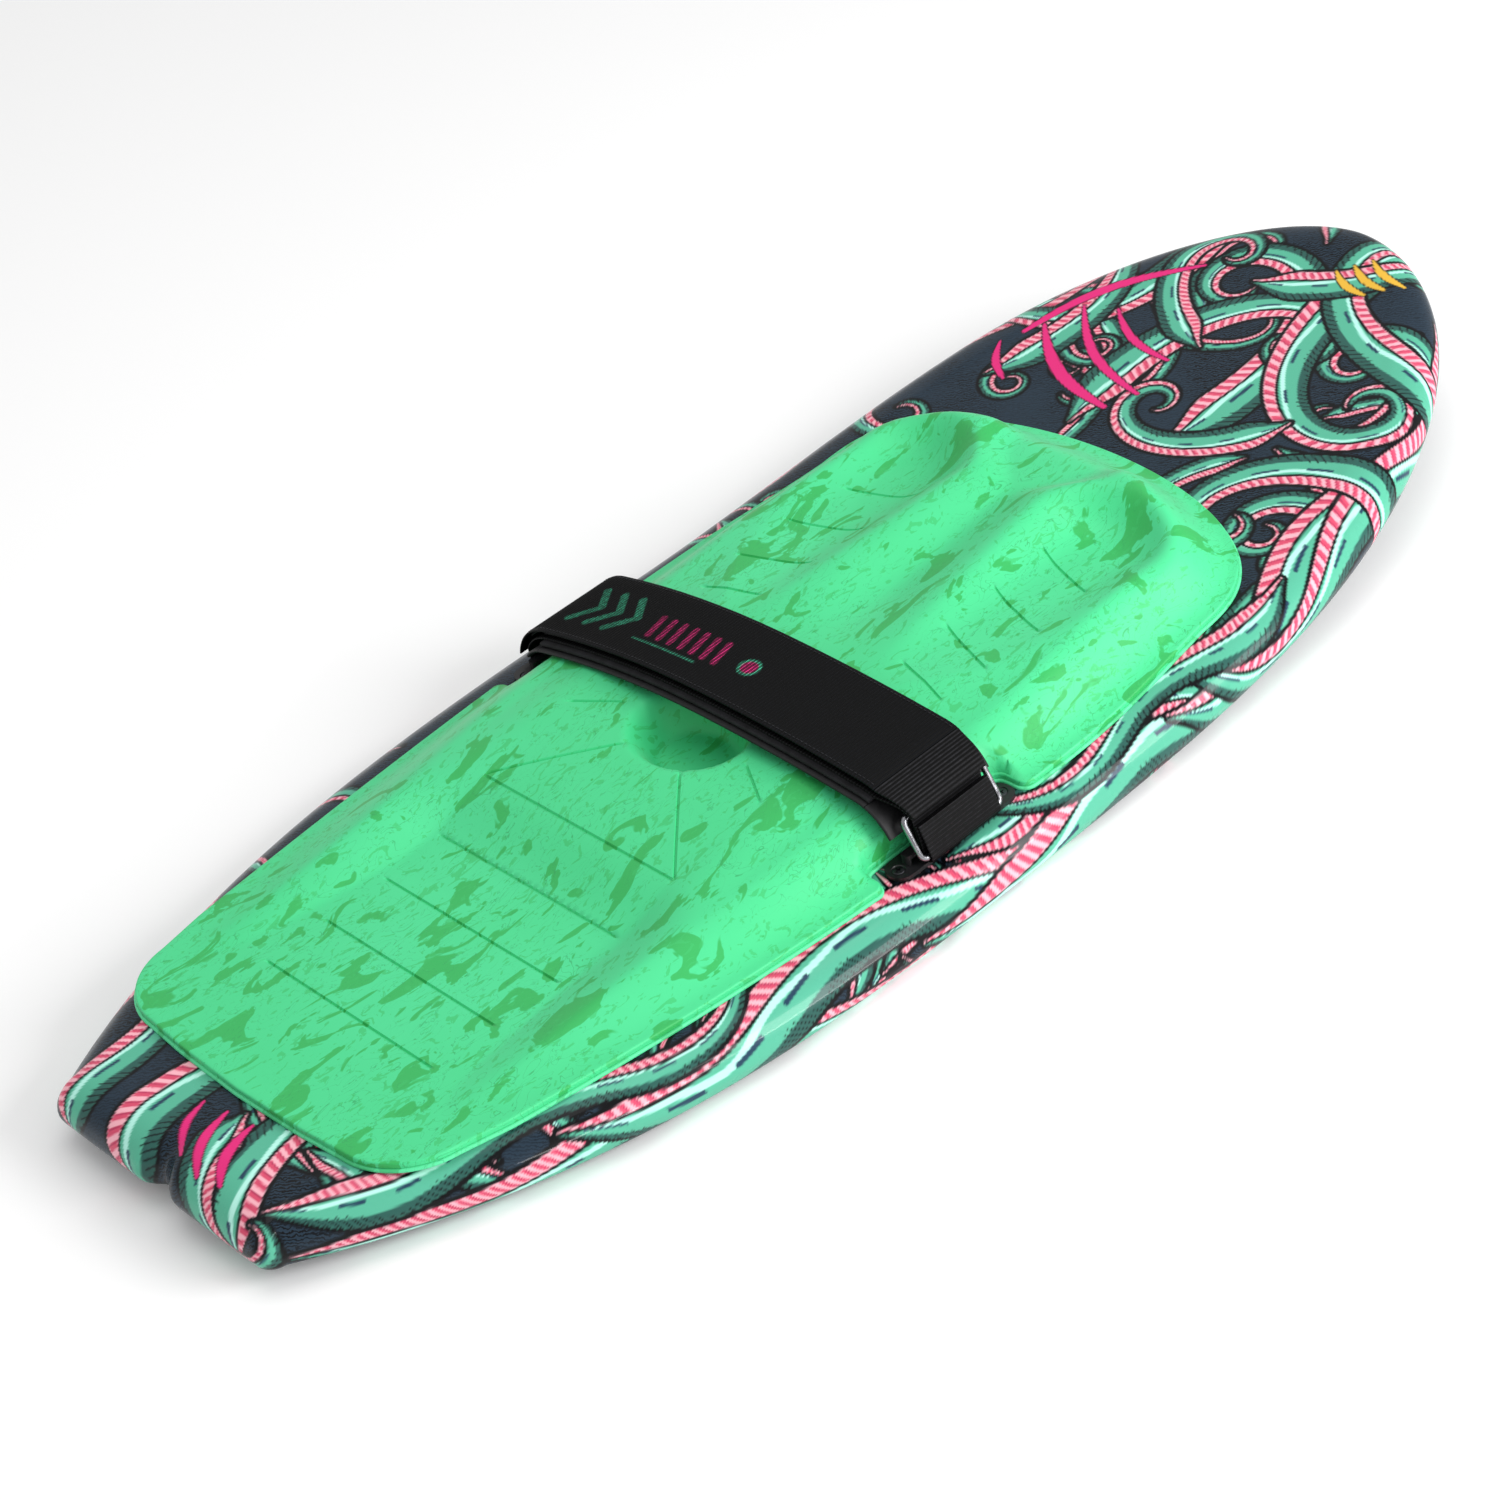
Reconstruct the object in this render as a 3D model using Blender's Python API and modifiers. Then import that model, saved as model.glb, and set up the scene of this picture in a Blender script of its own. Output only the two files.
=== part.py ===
"""Kneeboard: moulded foam-cored board, sculpted kneeling pad and a padded fold-back thigh strap.

Frame: +X towards the nose, +Y to port, +Z up, in metres. The origin is on the ground under the
middle of the board's length and width.
"""

import bmesh
import bpy
import math
from mathutils import Vector
from mathutils.geometry import delaunay_2d_cdt

# Board
BOARD_LENGTH = 1.320
HALF_WIDTH = 0.252
TAIL_HALF_WIDTH = 0.118
WIDEST_AT = 0.558
REAR_FLARE = 0.84
NOSE_POWER = 2.88
NOSE_ROUND = 1.81
TAIL_CORNER = 0.012
NOTCH_HALF_WIDTH = 0.024
NOTCH_DEPTH = 0.010
PAST_NOTCH = 9
NOSE_RISE = 0.0906
NOSE_RISE_FROM = 0.50
NOSE_RISE_POWER = 2.0
TAIL_RISE = 0.0117
TAIL_RISE_TO = 0.35
RAIL_HEIGHT = 0.041
NOSE_THINNING = 0.35
NOSE_THINNING_FROM = 0.80
# Rail section from the bottom edge up: inset from the widest line, share of the rail's height.
RAIL_BELOW = ((0.0104, 0.0), (0.0035, 0.12), (0.0, 0.33), (0.0, 0.38))
RAIL_ABOVE = ((0.0, 0.38), (0.0, 0.43), (0.0023, 0.62), (0.009, 0.84), (0.020, 0.985), (0.034, 1.05))
SKIN = 0.002
GAP = 0.0004
CORE_CLEARANCE = 0.0010

# Kneeling pad
PAD_REAR = -0.573
PAD_FRONT = 0.328
PAD_REAR_BULGE = 0.006
PAD_CORNER = 0.060
PAD_SIDES = ((-0.573, 0.165), (-0.430, 0.187), (-0.295, 0.203), (-0.150, 0.214), (0.058, 0.219), (0.200, 0.206))
PAD_CAP_POWER = 2.8
STRAP_NOTCH = (-0.153, -0.012)
STRAP_NOTCH_WALL = 0.190
STRAP_NOTCH_CORNER = 0.009
BACKING_MARGIN = 0.002
BACKING_THICKNESS = 0.0022
FLANGE_THICKNESS = 0.0042
PAD_GRID = 0.0165
# Heights above the ground along the pad: crest beside the channel and round the wells, then the floor.
CREST = ((-0.573, 0.052), (-0.535, 0.056), (-0.400, 0.068), (-0.250, 0.081), (-0.170, 0.087),
         (-0.010, 0.089), (0.075, 0.097), (0.140, 0.102), (0.195, 0.107), (0.262, 0.112))
CHANNEL_FLOOR = ((-0.573, 0.052), (-0.320, 0.053), (-0.256, 0.073), (-0.190, 0.084), (-0.150, 0.087))
# The sides lie lower than the crest by this much, from FALL_FROM outwards.
SIDE_FALL = ((-0.573, 0.0), (-0.450, 0.006), (-0.170, 0.009), (0.262, 0.010))
FALL_FROM = 0.085
FALL_TO = 0.170
CHANNEL_FOOT = 0.105
CHANNEL_CREST = 0.148
WELL_CENTRE = 0.105
WELL_START = -0.030
WELL_TURN = 0.205
WELL_NOSE = 0.058
WELL_SIDES = ((-0.030, 0.041), (0.075, 0.052), (0.205, 0.066))
WELL_FLOOR = ((-0.030, 0.089), (0.050, 0.087), (0.130, 0.085), (0.215, 0.082))
VALLEY_DEPTH = 0.013
VALLEY_RUN_IN = 0.12
VALLEY_LEAST = 0.03
# The valley between the wells opens out over this start and length
VALLEY_OPENS = (0.21, 0.06)
BOWL_SOFTNESS = 0.45
BOWL_CENTRE = -0.137
BOWL_HALF_LENGTH = 0.047
BOWL_HALF_WIDTH = 0.056
BOWL_DEPTH = 0.029
PAD_SLOPE = ((-0.573, 0.040), (-0.300, 0.050), (0.000, 0.054))
NOTCH_SLOPE = 0.028

# Strap: a crown over the pad, a round shoulder each side, then the legs
STRAP_X = -0.079
CROWN_Z = 0.097
# (y, z) of each shoulder's centre: the near side, then the far side
SHOULDERS = {-1: (0.164, 0.0512), 1: (0.172, 0.0400)}
SHOULDER_RADIUS = 0.038
CUT_ANGLE = math.radians(20)
TAPE_NEAR_END = CUT_ANGLE * 0.7
HOOK_FAR_END = CUT_ANGLE * 2.2
LEG_LEAVES_SHOULDER = math.radians(60)
# Each layer's underside and topside above the strap's underside, and its width
LINING = (0.0, 0.0030, 0.104)
FOAM = (0.0034, 0.0070, 0.096)
STANDING = (0.0074, 0.0098, 0.088)
LOOP_TAPE = (0.0102, 0.0118, 0.080)
HOOK_TAPE = (0.0122, 0.0138, 0.080)
TAIL = (0.0142, 0.0166, 0.088)
WEBBING = 0.0024
FAR_END_WIDTH = 0.084
PLY_WIDTH = 0.088
RING_PLY_WIDTH = 0.0755
FOLD_WIDTH = 0.072
TAIL_END_ANGLE = math.radians(74)
LINING_END_ANGLES = {-1: math.radians(64), 1: math.radians(50)}

# Ring and its keeper, on the near side
WIRE_RADIUS = 0.0025
RING_LENGTH = 0.082
RING_HEIGHT = 0.034
RING_CORNER = 0.005
RING_ANGLE = math.radians(52)
RING_REACH = 0.0505
RING_SLOPE = math.radians(62)
KEEPER = 0.0016
KEEPER_WIDTH = 0.071
KEEPER_BEND = 0.0006
KEEPER_SLACK = (0.0022, 0.0160)
PLY_PAST_BAR = 0.003
FOLD_FROM_BAR = 0.009
# Heights of the fold's two ends, as shares of the webbing's height over the bar
FOLD_RISE = (0.82, 0.43)

# Anchors
ANCHOR_Y = 0.2065
ANCHOR_LENGTH = 0.126
ANCHOR_WIDTH = 0.024
PLATE_THICKNESS = 0.0032
PLATE_END_RADIUS = ANCHOR_WIDTH * 0.46
SLOT_LENGTH = 0.088
SLOT_HEIGHT = 0.0046
BAR_WIDTH = 0.008
BAR_THICKNESS = 0.0038
POST_LENGTH = 0.0035
BRIDGE_CORNER = 0.0025
SCREW_SPACING = 0.108
SCREW_RADIUS = 0.0022
HEAD_RADIUS = 0.0046
HEAD_DEPTH = 0.0026
SCREW_LENGTH = 0.0150
INSERT_RADIUS = 0.0040
INSERT_BORE = 0.0027
INSERT_LENGTH = 0.0140
POCKET_CLEARANCE = 0.00035
POCKET_ABOVE = 0.004
HEAD_RIM = 0.0003

COLOURS = {
    "deck_print": ((0.030, 0.055, 0.080), 0.18, 0.0),
    "base_plastic": ((0.020, 0.030, 0.040), 0.25, 0.0),
    "core_foam": ((0.80, 0.76, 0.62), 0.90, 0.0),
    "pad_foam": ((0.070, 0.760, 0.310), 0.60, 0.0),
    "backing_foam": ((0.100, 0.800, 0.380), 0.65, 0.0),
    "anchor_plastic": ((0.012, 0.012, 0.013), 0.40, 0.0),
    "insert_brass": ((0.72, 0.50, 0.20), 0.35, 1.0),
    "screw_steel": ((0.10, 0.10, 0.11), 0.35, 1.0),
    "ring_steel": ((0.55, 0.55, 0.56), 0.28, 1.0),
    "webbing": ((0.010, 0.010, 0.011), 0.80, 0.0),
    "lining": ((0.012, 0.012, 0.013), 0.70, 0.0),
    "strap_foam": ((0.020, 0.020, 0.022), 0.95, 0.0),
    "tape": ((0.014, 0.014, 0.015), 0.90, 0.0),
}


# ---------------------------------------------------------------- scene and materials


def clear_scene():
    for old in list(bpy.data.objects):
        bpy.data.objects.remove(old, do_unlink=True)


def new_collection(name):
    made = bpy.data.collections.new(name)
    bpy.context.scene.collection.children.link(made)
    return made


def principled(name):
    found = bpy.data.materials.get(name)
    if found:
        return found
    colour, roughness, metallic = COLOURS[name]
    made = bpy.data.materials.new(name)
    made.use_nodes = True
    shader = made.node_tree.nodes["Principled BSDF"]
    shader.inputs["Base Color"].default_value = (*colour, 1.0)
    shader.inputs["Roughness"].default_value = roughness
    shader.inputs["Metallic"].default_value = metallic
    return made


def add_part(name, mesh, material, smooth=True):
    """A named object of the board's collection, with its own material."""
    mesh.name = name
    mesh.materials.append(principled(material))
    if smooth:
        mesh.shade_smooth()
        mesh.set_sharp_from_angle(angle=math.radians(35))
    made = bpy.data.objects.new(name, mesh)
    parts.objects.link(made)
    return made


def add_cutter(name, mesh):
    made = bpy.data.objects.new(name, mesh)
    cutters.objects.link(made)
    made.hide_render = True
    made.display_type = "WIRE"
    return made


def mesh_from(bm):
    bmesh.ops.recalc_face_normals(bm, faces=bm.faces)
    mesh = bpy.data.meshes.new("shape")
    bm.to_mesh(mesh)
    bm.free()
    return mesh


def combine(target, other, operation):
    modifier = target.modifiers.new(operation.lower() + "_" + other.name, "BOOLEAN")
    modifier.operation = operation
    modifier.object = other
    modifier.solver = "EXACT"


def joint_empty(name, location):
    made = bpy.data.objects.new(name, None)
    made.empty_display_size = 0.02
    made.location = location
    parts.objects.link(made)
    return made


def hang_on(child, pivot):
    """Parents a piece to its joint's empty and keeps it where it is."""
    child.parent = pivot
    child.location = child.location - pivot.location


# ---------------------------------------------------------------- curves shared by the parts


def clamp(value, low=0.0, high=1.0):
    return max(low, min(high, value))


def ease(value):
    value = clamp(value)
    return value * value * (3 - 2 * value)


def through(x, stations):
    """A smooth curve through (x, value) stations, level outside them."""
    last = len(stations) - 1
    if x <= stations[0][0]:
        return stations[0][1]
    if x >= stations[last][0]:
        return stations[last][1]
    i = max(k for k in range(last) if stations[k][0] <= x)

    def slope(k):
        low, high = stations[max(k - 1, 0)], stations[min(k + 1, last)]
        return (high[1] - low[1]) / (high[0] - low[0])

    (x0, v0), (x1, v1) = stations[i], stations[i + 1]
    span = x1 - x0
    t = (x - x0) / span
    blend = ease(t)
    return (
        v0 * (1 - blend) + v1 * blend
        + span * slope(i) * t * (1 - t) ** 2
        - span * slope(i + 1) * t * t * (1 - t)
    )


def along(x):
    """Share of the board's length from the tail."""
    return x / BOARD_LENGTH + 0.5


def rocker(x):
    """Height of the bottom above the ground."""
    t = along(x)
    nose = clamp((t - NOSE_RISE_FROM) / (1 - NOSE_RISE_FROM)) ** NOSE_RISE_POWER
    tail = clamp((TAIL_RISE_TO - t) / TAIL_RISE_TO) ** 2
    return NOSE_RISE * nose + TAIL_RISE * tail


def rail_height(x):
    thinning = ease((along(x) - NOSE_THINNING_FROM) / (1 - NOSE_THINNING_FROM))
    return RAIL_HEIGHT * (1 - NOSE_THINNING * thinning)


def deck_top(x):
    return rocker(x) + RAIL_ABOVE[-1][1] * rail_height(x)


def board_half_width(t):
    if t < WIDEST_AT:
        s = t / WIDEST_AT
        flare = REAR_FLARE * WIDEST_AT * (s ** 3 - 2 * s * s + s)
        return TAIL_HALF_WIDTH + (HALF_WIDTH - TAIL_HALF_WIDTH) * s * s * (3 - 2 * s) + flare
    v = (t - WIDEST_AT) / (1 - WIDEST_AT)
    return HALF_WIDTH * clamp(1 - v ** NOSE_POWER) ** (1 / NOSE_ROUND)


def board_outline():
    """Plan of the board at its widest line: the tail's middle, round the +Y side to the nose, and back."""
    rear = -BOARD_LENGTH / 2
    side = []
    for k in range(5):
        y = NOTCH_HALF_WIDTH * k / 4
        side.append((rear + NOTCH_DEPTH * (1 + math.cos(math.pi * y / NOTCH_HALF_WIDTH)) / 2, y))
    for k in range(5):
        angle = math.radians(90 * k / 4)
        centre_y = board_half_width(TAIL_CORNER / BOARD_LENGTH) - TAIL_CORNER
        side.append((rear + TAIL_CORNER * (1 - math.cos(angle)), centre_y + TAIL_CORNER * math.sin(angle)))
    first = TAIL_CORNER / BOARD_LENGTH
    for k in range(1, 16):
        t = first + (WIDEST_AT - first) * k / 15
        side.append((rear + BOARD_LENGTH * t, board_half_width(t)))
    for k in range(1, 22):
        t = WIDEST_AT + (1 - WIDEST_AT) * math.sin(math.radians(90 * k / 21)) ** 0.9
        side.append((rear + BOARD_LENGTH * t, board_half_width(t)))
    side[-1] = (BOARD_LENGTH / 2, 0.0)
    return side + [(x, -y) for x, y in reversed(side[1:-1])]


def shrunk(outline, inset):
    """The outline drawn in by the inset at its widest and at both ends."""
    along_x = 1 - 2 * inset / BOARD_LENGTH
    across = 1 - inset / HALF_WIDTH
    return [(x * along_x, y * across) for x, y in outline]


def offset_inward(outline, distance):
    """Each point moved along the outline's own inward normal."""
    moved = []
    for i, (x, y) in enumerate(outline):
        before, after = Vector(outline[i - 1]), Vector(outline[(i + 1) % len(outline)])
        run = (after - before).normalized()
        moved.append((x + run.y * distance, y - run.x * distance))
    return moved


def fill(points, edges, extra=()):
    """Triangles over a closed outline of 2-D points, through the extra points and edges inside it."""
    count = len(points)
    rim = [(i, (i + 1) % count) for i in range(count)]
    flat = [Vector(p) for p in list(points) + list(extra)]
    _, _, faces, origins, _, _ = delaunay_2d_cdt(flat, rim + list(edges), [], 1, 1e-7)
    return [[origins[v][0] for v in face] for face in faces]


def cross_edges(count, first, last):
    """Edges straight across between the mirrored points of a symmetric outline."""
    return [(i, count - i) for i in range(first, last)]


# ---------------------------------------------------------------- board


def rail_rings(bm, outline, profile, lift=0.0, inward=0.0):
    """Closed rings of vertices round the board, one for each step of the rail's section."""
    rings = []
    for inset, share in profile:
        ring = offset_inward(shrunk(outline, inset), inward) if inward else shrunk(outline, inset)
        rings.append([bm.verts.new((x, y, rocker(x) + share * rail_height(x) + lift)) for x, y in ring])
    return rings


def skin_between(bm, rings):
    for low, high in zip(rings, rings[1:]):
        for i in range(len(low)):
            j = (i + 1) % len(low)
            bm.faces.new((low[i], low[j], high[j], high[i]))


def cap_ring(bm, ring):
    """Fills a ring with strips that run straight across the board, and returns one of them."""
    flat = [(v.co.x, v.co.y) for v in ring]
    side = len(ring) // 2
    for face in fill(flat, cross_edges(len(ring), PAST_NOTCH, side - 1)):
        strip_face = bm.faces.new([ring[i] for i in face])
    return strip_face


def build_shell(name, profile, cap_index, material, rim_gap):
    """One moulded skin: the rail's section swept round the plan, filled across, and thickened inwards."""
    bm = bmesh.new()
    outline = board_outline()
    rings = rail_rings(bm, outline, profile)
    rim, outward = (rings[-1], -1) if cap_index == 0 else (rings[0], 1)
    for vert in rim:
        vert.co.z += outward * rim_gap
    skin_between(bm, rings)
    cap = cap_ring(bm, rings[cap_index])
    bmesh.ops.recalc_face_normals(bm, faces=bm.faces)
    bm.normal_update()
    if cap.normal.z * outward < 0:
        bmesh.ops.reverse_faces(bm, faces=bm.faces)
    mesh = bpy.data.meshes.new(name)
    bm.to_mesh(mesh)
    bm.free()
    shell = add_part(name, mesh, material)
    wall = shell.modifiers.new("wall", "SOLIDIFY")
    wall.thickness = SKIN
    wall.offset = -1
    wall.use_even_offset = True
    return shell


def build_core():
    """The foam that fills both skins."""
    bm = bmesh.new()
    outline = board_outline()
    inward = SKIN + CORE_CLEARANCE
    rings = []
    for step in RAIL_BELOW[:2] + RAIL_BELOW[3:] + RAIL_ABOVE[2:]:
        share = step[1]
        lift = inward * (1 - ease(share / 0.25)) - inward * ease((share - 0.5) / 0.4)
        rings += rail_rings(bm, outline, (step,), lift=lift, inward=inward)
    skin_between(bm, rings)
    cap_ring(bm, rings[0])
    cap_ring(bm, rings[-1])
    return add_part("foam_core", mesh_from(bm), "core_foam")


# ---------------------------------------------------------------- kneeling pad


def pad_cap_half_width(x):
    start, width = PAD_SIDES[-1]
    return width * math.sqrt(clamp(1 - ((x - start) / (PAD_FRONT - start)) ** PAD_CAP_POWER))


def pad_side(notched):
    """Half of the pad's plan, from the middle of its rear edge round the +Y side to its front."""
    side = [(PAD_REAR - PAD_REAR_BULGE, 0.0), (PAD_REAR - PAD_REAR_BULGE * 0.6, 0.070)]
    corner_y = PAD_SIDES[0][1] + 0.006 - PAD_CORNER
    for k in range(6):
        angle = math.radians(84 * k / 5)
        side.append((PAD_REAR + PAD_CORNER * (1 - math.cos(angle)), corner_y + PAD_CORNER * math.sin(angle)))
    low, high = STRAP_NOTCH
    xs = [-0.48, -0.43, -0.37, -0.31, -0.25, -0.19]
    side += [(x, through(x, PAD_SIDES)) for x in xs]
    if notched:
        wall, r = STRAP_NOTCH_WALL, STRAP_NOTCH_CORNER
        edge = through(low, PAD_SIDES)
        side += [(low - r, edge), (low - r * 0.3, edge - r * 0.3), (low, edge - r)]
        side += [(low, wall + r), (low + r * 0.3, wall + r * 0.3), (low + r, wall)]
        side += [(x, wall) for x in (-0.115, -0.0825, -0.050)]
        edge = through(high, PAD_SIDES)
        side += [(high - r, wall), (high - r * 0.3, wall + r * 0.3), (high, wall + r)]
        side += [(high, edge - r), (high + r * 0.3, edge - r * 0.3), (high + r, edge)]
    else:
        side += [(x, through(x, PAD_SIDES)) for x in (-0.15, -0.10, -0.05, -0.01)]
    side += [(x, through(x, PAD_SIDES)) for x in (0.04, 0.09, 0.14, 0.17)]
    start = PAD_SIDES[-1][0]
    for k in range(13):
        x = start + (PAD_FRONT - start) * math.sin(math.radians(90 * k / 13))
        side.append((x, pad_cap_half_width(x)))
    side.append((PAD_FRONT, 0.0))
    return side


def mirrored(side):
    return side + [(x, -y) for x, y in reversed(side[1:-1])]


def edge_distance(x, y, outline):
    """Distance from a point to a closed outline."""
    point = Vector((x, y))
    nearest = 1.0
    for i, start in enumerate(outline):
        a, b = Vector(start), Vector(outline[(i + 1) % len(outline)])
        run = b - a
        t = clamp((point - a).dot(run) / run.length_squared)
        nearest = min(nearest, (a + run * t - point).length)
    return nearest


def pad_flange(x):
    return deck_top(x) + 2 * GAP + BACKING_THICKNESS + FLANGE_THICKNESS


def well_share(x, a):
    """Distance from the middle line of a knee well, where 1 is its crest."""
    if x <= WELL_TURN:
        return abs(a - WELL_CENTRE) / through(x, WELL_SIDES)
    return math.hypot((x - WELL_TURN) / WELL_NOSE, (a - WELL_CENTRE) / WELL_SIDES[-1][1])


def pad_relief(x, y):
    """Height of the sculpted surface, before it falls away to the pad's edge."""
    a = abs(y)
    crest = through(x, CREST) - through(x, SIDE_FALL) * ease((a - FALL_FROM) / (FALL_TO - FALL_FROM))
    if x < WELL_START:
        floor = through(x, CHANNEL_FLOOR)
        height = floor + (crest - floor) * ease((a - CHANNEL_FOOT) / (CHANNEL_CREST - CHANNEL_FOOT))
    else:
        share = well_share(x, a)
        floor = min(through(x, WELL_FLOOR), crest)
        if share < 1:
            height = floor + (crest - floor) * (1 - math.cos(math.pi * share ** 1.5)) / 2
        else:
            inner = WELL_CENTRE - through(x, WELL_SIDES)
            opening = ease((x - WELL_START) / VALLEY_RUN_IN)
            height = crest
            if a < WELL_CENTRE:
                widening = ease((x - VALLEY_OPENS[0]) / VALLEY_OPENS[1])
                height -= VALLEY_DEPTH * opening * ease((inner - a) / max(inner, VALLEY_LEAST) + widening)
    bowl = math.hypot((x - BOWL_CENTRE) / BOWL_HALF_LENGTH, y / BOWL_HALF_WIDTH)
    return height - BOWL_DEPTH * ease((1 - bowl) / BOWL_SOFTNESS)


def pad_top(x, y, plain_outline, notched_outline):
    flange = pad_flange(x)
    slope = ease(edge_distance(x, y, plain_outline) / through(x, PAD_SLOPE))
    from_notch = clamp(edge_distance(x, y, notched_outline) / NOTCH_SLOPE)
    wall = math.sqrt(1 - (1 - from_notch) ** 2)
    return flange + (max(pad_relief(x, y), flange) - flange) * min(slope, wall)


def inside(x, y, outline):
    hit = False
    for i, (x0, y0) in enumerate(outline):
        x1, y1 = outline[(i + 1) % len(outline)]
        if (y0 > y) != (y1 > y) and x < x0 + (y - y0) * (x1 - x0) / (y1 - y0):
            hit = not hit
    return hit


def grid_inside(outline, step, margin):
    """Staggered points inside an outline, mirrored about the middle line."""
    found = []
    rows = int(0.25 / (step * 0.866))
    for row in range(-rows, rows + 1):
        y = row * step * 0.866
        shift = 0.5 * step * (row % 2)
        for k in range(int((PAD_FRONT - PAD_REAR) / step) + 1):
            x = PAD_REAR + k * step + shift
            if inside(x, y, outline) and edge_distance(x, y, outline) > margin:
                found.append((x, y))
    return found


def slab(outline, extra, top, bottom):
    """A closed solid over an outline, between two height functions."""
    bm = bmesh.new()
    points = list(outline) + list(extra)
    upper = [bm.verts.new((x, y, top(x, y))) for x, y in points]
    lower = [bm.verts.new((x, y, bottom(x, y))) for x, y in outline]
    ruled = fill(outline, cross_edges(len(outline), 2, len(outline) // 2))
    for face in fill(outline, [], extra) if extra else ruled:
        bm.faces.new([upper[i] for i in face])
    for face in ruled:
        bm.faces.new([lower[i] for i in reversed(face)])
    for i in range(len(outline)):
        j = (i + 1) % len(outline)
        bm.faces.new((lower[i], lower[j], upper[j], upper[i]))
    return mesh_from(bm)


def build_knee_pad():
    notched = mirrored(pad_side(True))
    plain = mirrored(pad_side(False))
    extra = grid_inside(notched, PAD_GRID, PAD_GRID * 0.45)
    base = 2 * GAP + BACKING_THICKNESS
    mesh = slab(notched, extra, lambda x, y: pad_top(x, y, plain, notched), lambda x, y: deck_top(x) + base)
    return add_part("knee_pad", mesh, "pad_foam")


def build_pad_backing():
    outline = offset_inward(mirrored(pad_side(True)), -BACKING_MARGIN)
    mesh = slab(outline, [], lambda x, y: deck_top(x) + GAP + BACKING_THICKNESS, lambda x, y: deck_top(x) + GAP)
    return add_part("pad_backing", mesh, "backing_foam")


# ---------------------------------------------------------------- strap


def crown_angle(side):
    """Angle at which the crown's wide arc meets that side's shoulder."""
    y, z = SHOULDERS[side]
    return 2 * math.atan((CROWN_Z - z - SHOULDER_RADIUS) / y)


def wrap_point(angle, height, side):
    """(y, z) at a height above the strap's underside. The angle runs from 0 at the middle, over the
    crown, to the shoulder's own angle."""
    y, z = SHOULDERS[side]
    if angle < crown_angle(side):
        radius = y / math.sin(crown_angle(side)) + SHOULDER_RADIUS
        reach = radius + height
        return side * reach * math.sin(angle), CROWN_Z - radius + reach * math.cos(angle)
    reach = SHOULDER_RADIUS + height
    return side * (y + reach * math.sin(angle)), z + reach * math.cos(angle)


def wrap_run(height, side, start, end):
    """Points from one angle to another on one side, close enough on the shoulder to look round."""
    steps = max(2, round((end - start) / math.radians(8)))
    return [wrap_point(start + (end - start) * k / steps, height, side) for k in range(steps + 1)]


def arch_run(height, near_end, far_end):
    """Points right across, from the near side to the far side."""
    near = wrap_run(height, -1, crown_angle(-1), near_end)[::-1]
    far = wrap_run(height, 1, crown_angle(1), far_end)
    crown = [wrap_point(crown_angle(-1) * k / 3, height, -1) for k in (2, 1)]
    crown += [wrap_point(crown_angle(1) * k / 3, height, 1) for k in (0, 1, 2)]
    return near + crown + far


def strip(name, path, widths, thickness, material, closed=False):
    """Webbing laid along a path of (y, z) points in its middle, thickened to both sides. Its width
    changes evenly from the first of the widths to the second."""
    bm = bmesh.new()
    first, last = widths
    halves = [(first + (last - first) * k / (len(path) - 1)) / 2 for k in range(len(path))]
    left = [bm.verts.new((-half, y, z)) for half, (y, z) in zip(halves, path)]
    right = [bm.verts.new((half, y, z)) for half, (y, z) in zip(halves, path)]
    for i in range(len(path) if closed else len(path) - 1):
        j = (i + 1) % len(path)
        bm.faces.new((left[i], left[j], right[j], right[i]))
    band = add_part(name, mesh_from(bm), material)
    band.location = (STRAP_X, 0, 0)
    thick = band.modifiers.new("thickness", "SOLIDIFY")
    thick.thickness = thickness
    thick.offset = 0
    thick.use_even_offset = True
    return band


def layer(name, sizes, path_of, material):
    """A strap layer from its (underside, topside, width)."""
    low, high, width = sizes
    return strip(name, path_of((low + high) / 2), (width, width), high - low, material)


def arc(centre, radius, start, end, steps):
    """Points round a (y, z) centre. Angles are in degrees from +Y towards +Z."""
    angles = [math.radians(start + (end - start) * k / steps) for k in range(steps + 1)]
    return [(centre[0] + radius * math.cos(a), centre[1] + radius * math.sin(a)) for a in angles]


def ring_bars():
    """(y, z) of the ring's inner bar, which lies in the keeper, and of its outer bar."""
    inner = wrap_point(RING_ANGLE, RING_REACH - SHOULDER_RADIUS, -1)
    outer = (inner[0] - RING_HEIGHT * math.cos(RING_SLOPE), inner[1] - RING_HEIGHT * math.sin(RING_SLOPE))
    return inner, outer


def bracket_bar():
    """(y, z) of the middle of the near bracket's bar."""
    z = deck_top(STRAP_X) + GAP + PLATE_THICKNESS + SLOT_HEIGHT + BAR_THICKNESS / 2
    return -ANCHOR_Y, z


def build_strap_arch(pivot):
    """The layers that lift together off the pad."""
    cut = CUT_ANGLE - GAP / SHOULDER_RADIUS / 2
    pieces = [
        layer("strap_lining", LINING, lambda h: arch_run(h, cut, cut), "lining"),
        layer("strap_foam", FOAM, lambda h: arch_run(h, cut, cut), "strap_foam"),
        layer("standing_webbing", STANDING, lambda h: arch_run(h, cut, cut), "webbing"),
        layer("loop_tape", LOOP_TAPE, lambda h: arch_run(h, TAPE_NEAR_END, cut), "tape"),
    ]
    for piece in pieces:
        hang_on(piece, pivot)


def build_strap_tail(pivot):
    """The fold-back layers, which peel up from the far end."""
    cut = CUT_ANGLE - GAP / SHOULDER_RADIUS / 2
    pieces = [
        layer("hook_tape", HOOK_TAPE, lambda h: arch_run(h, TAPE_NEAR_END, HOOK_FAR_END), "tape"),
        layer("tail_webbing", TAIL, lambda h: arch_run(h, cut, TAIL_END_ANGLE), "webbing"),
    ]
    for piece in pieces:
        hang_on(piece, pivot)


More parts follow.
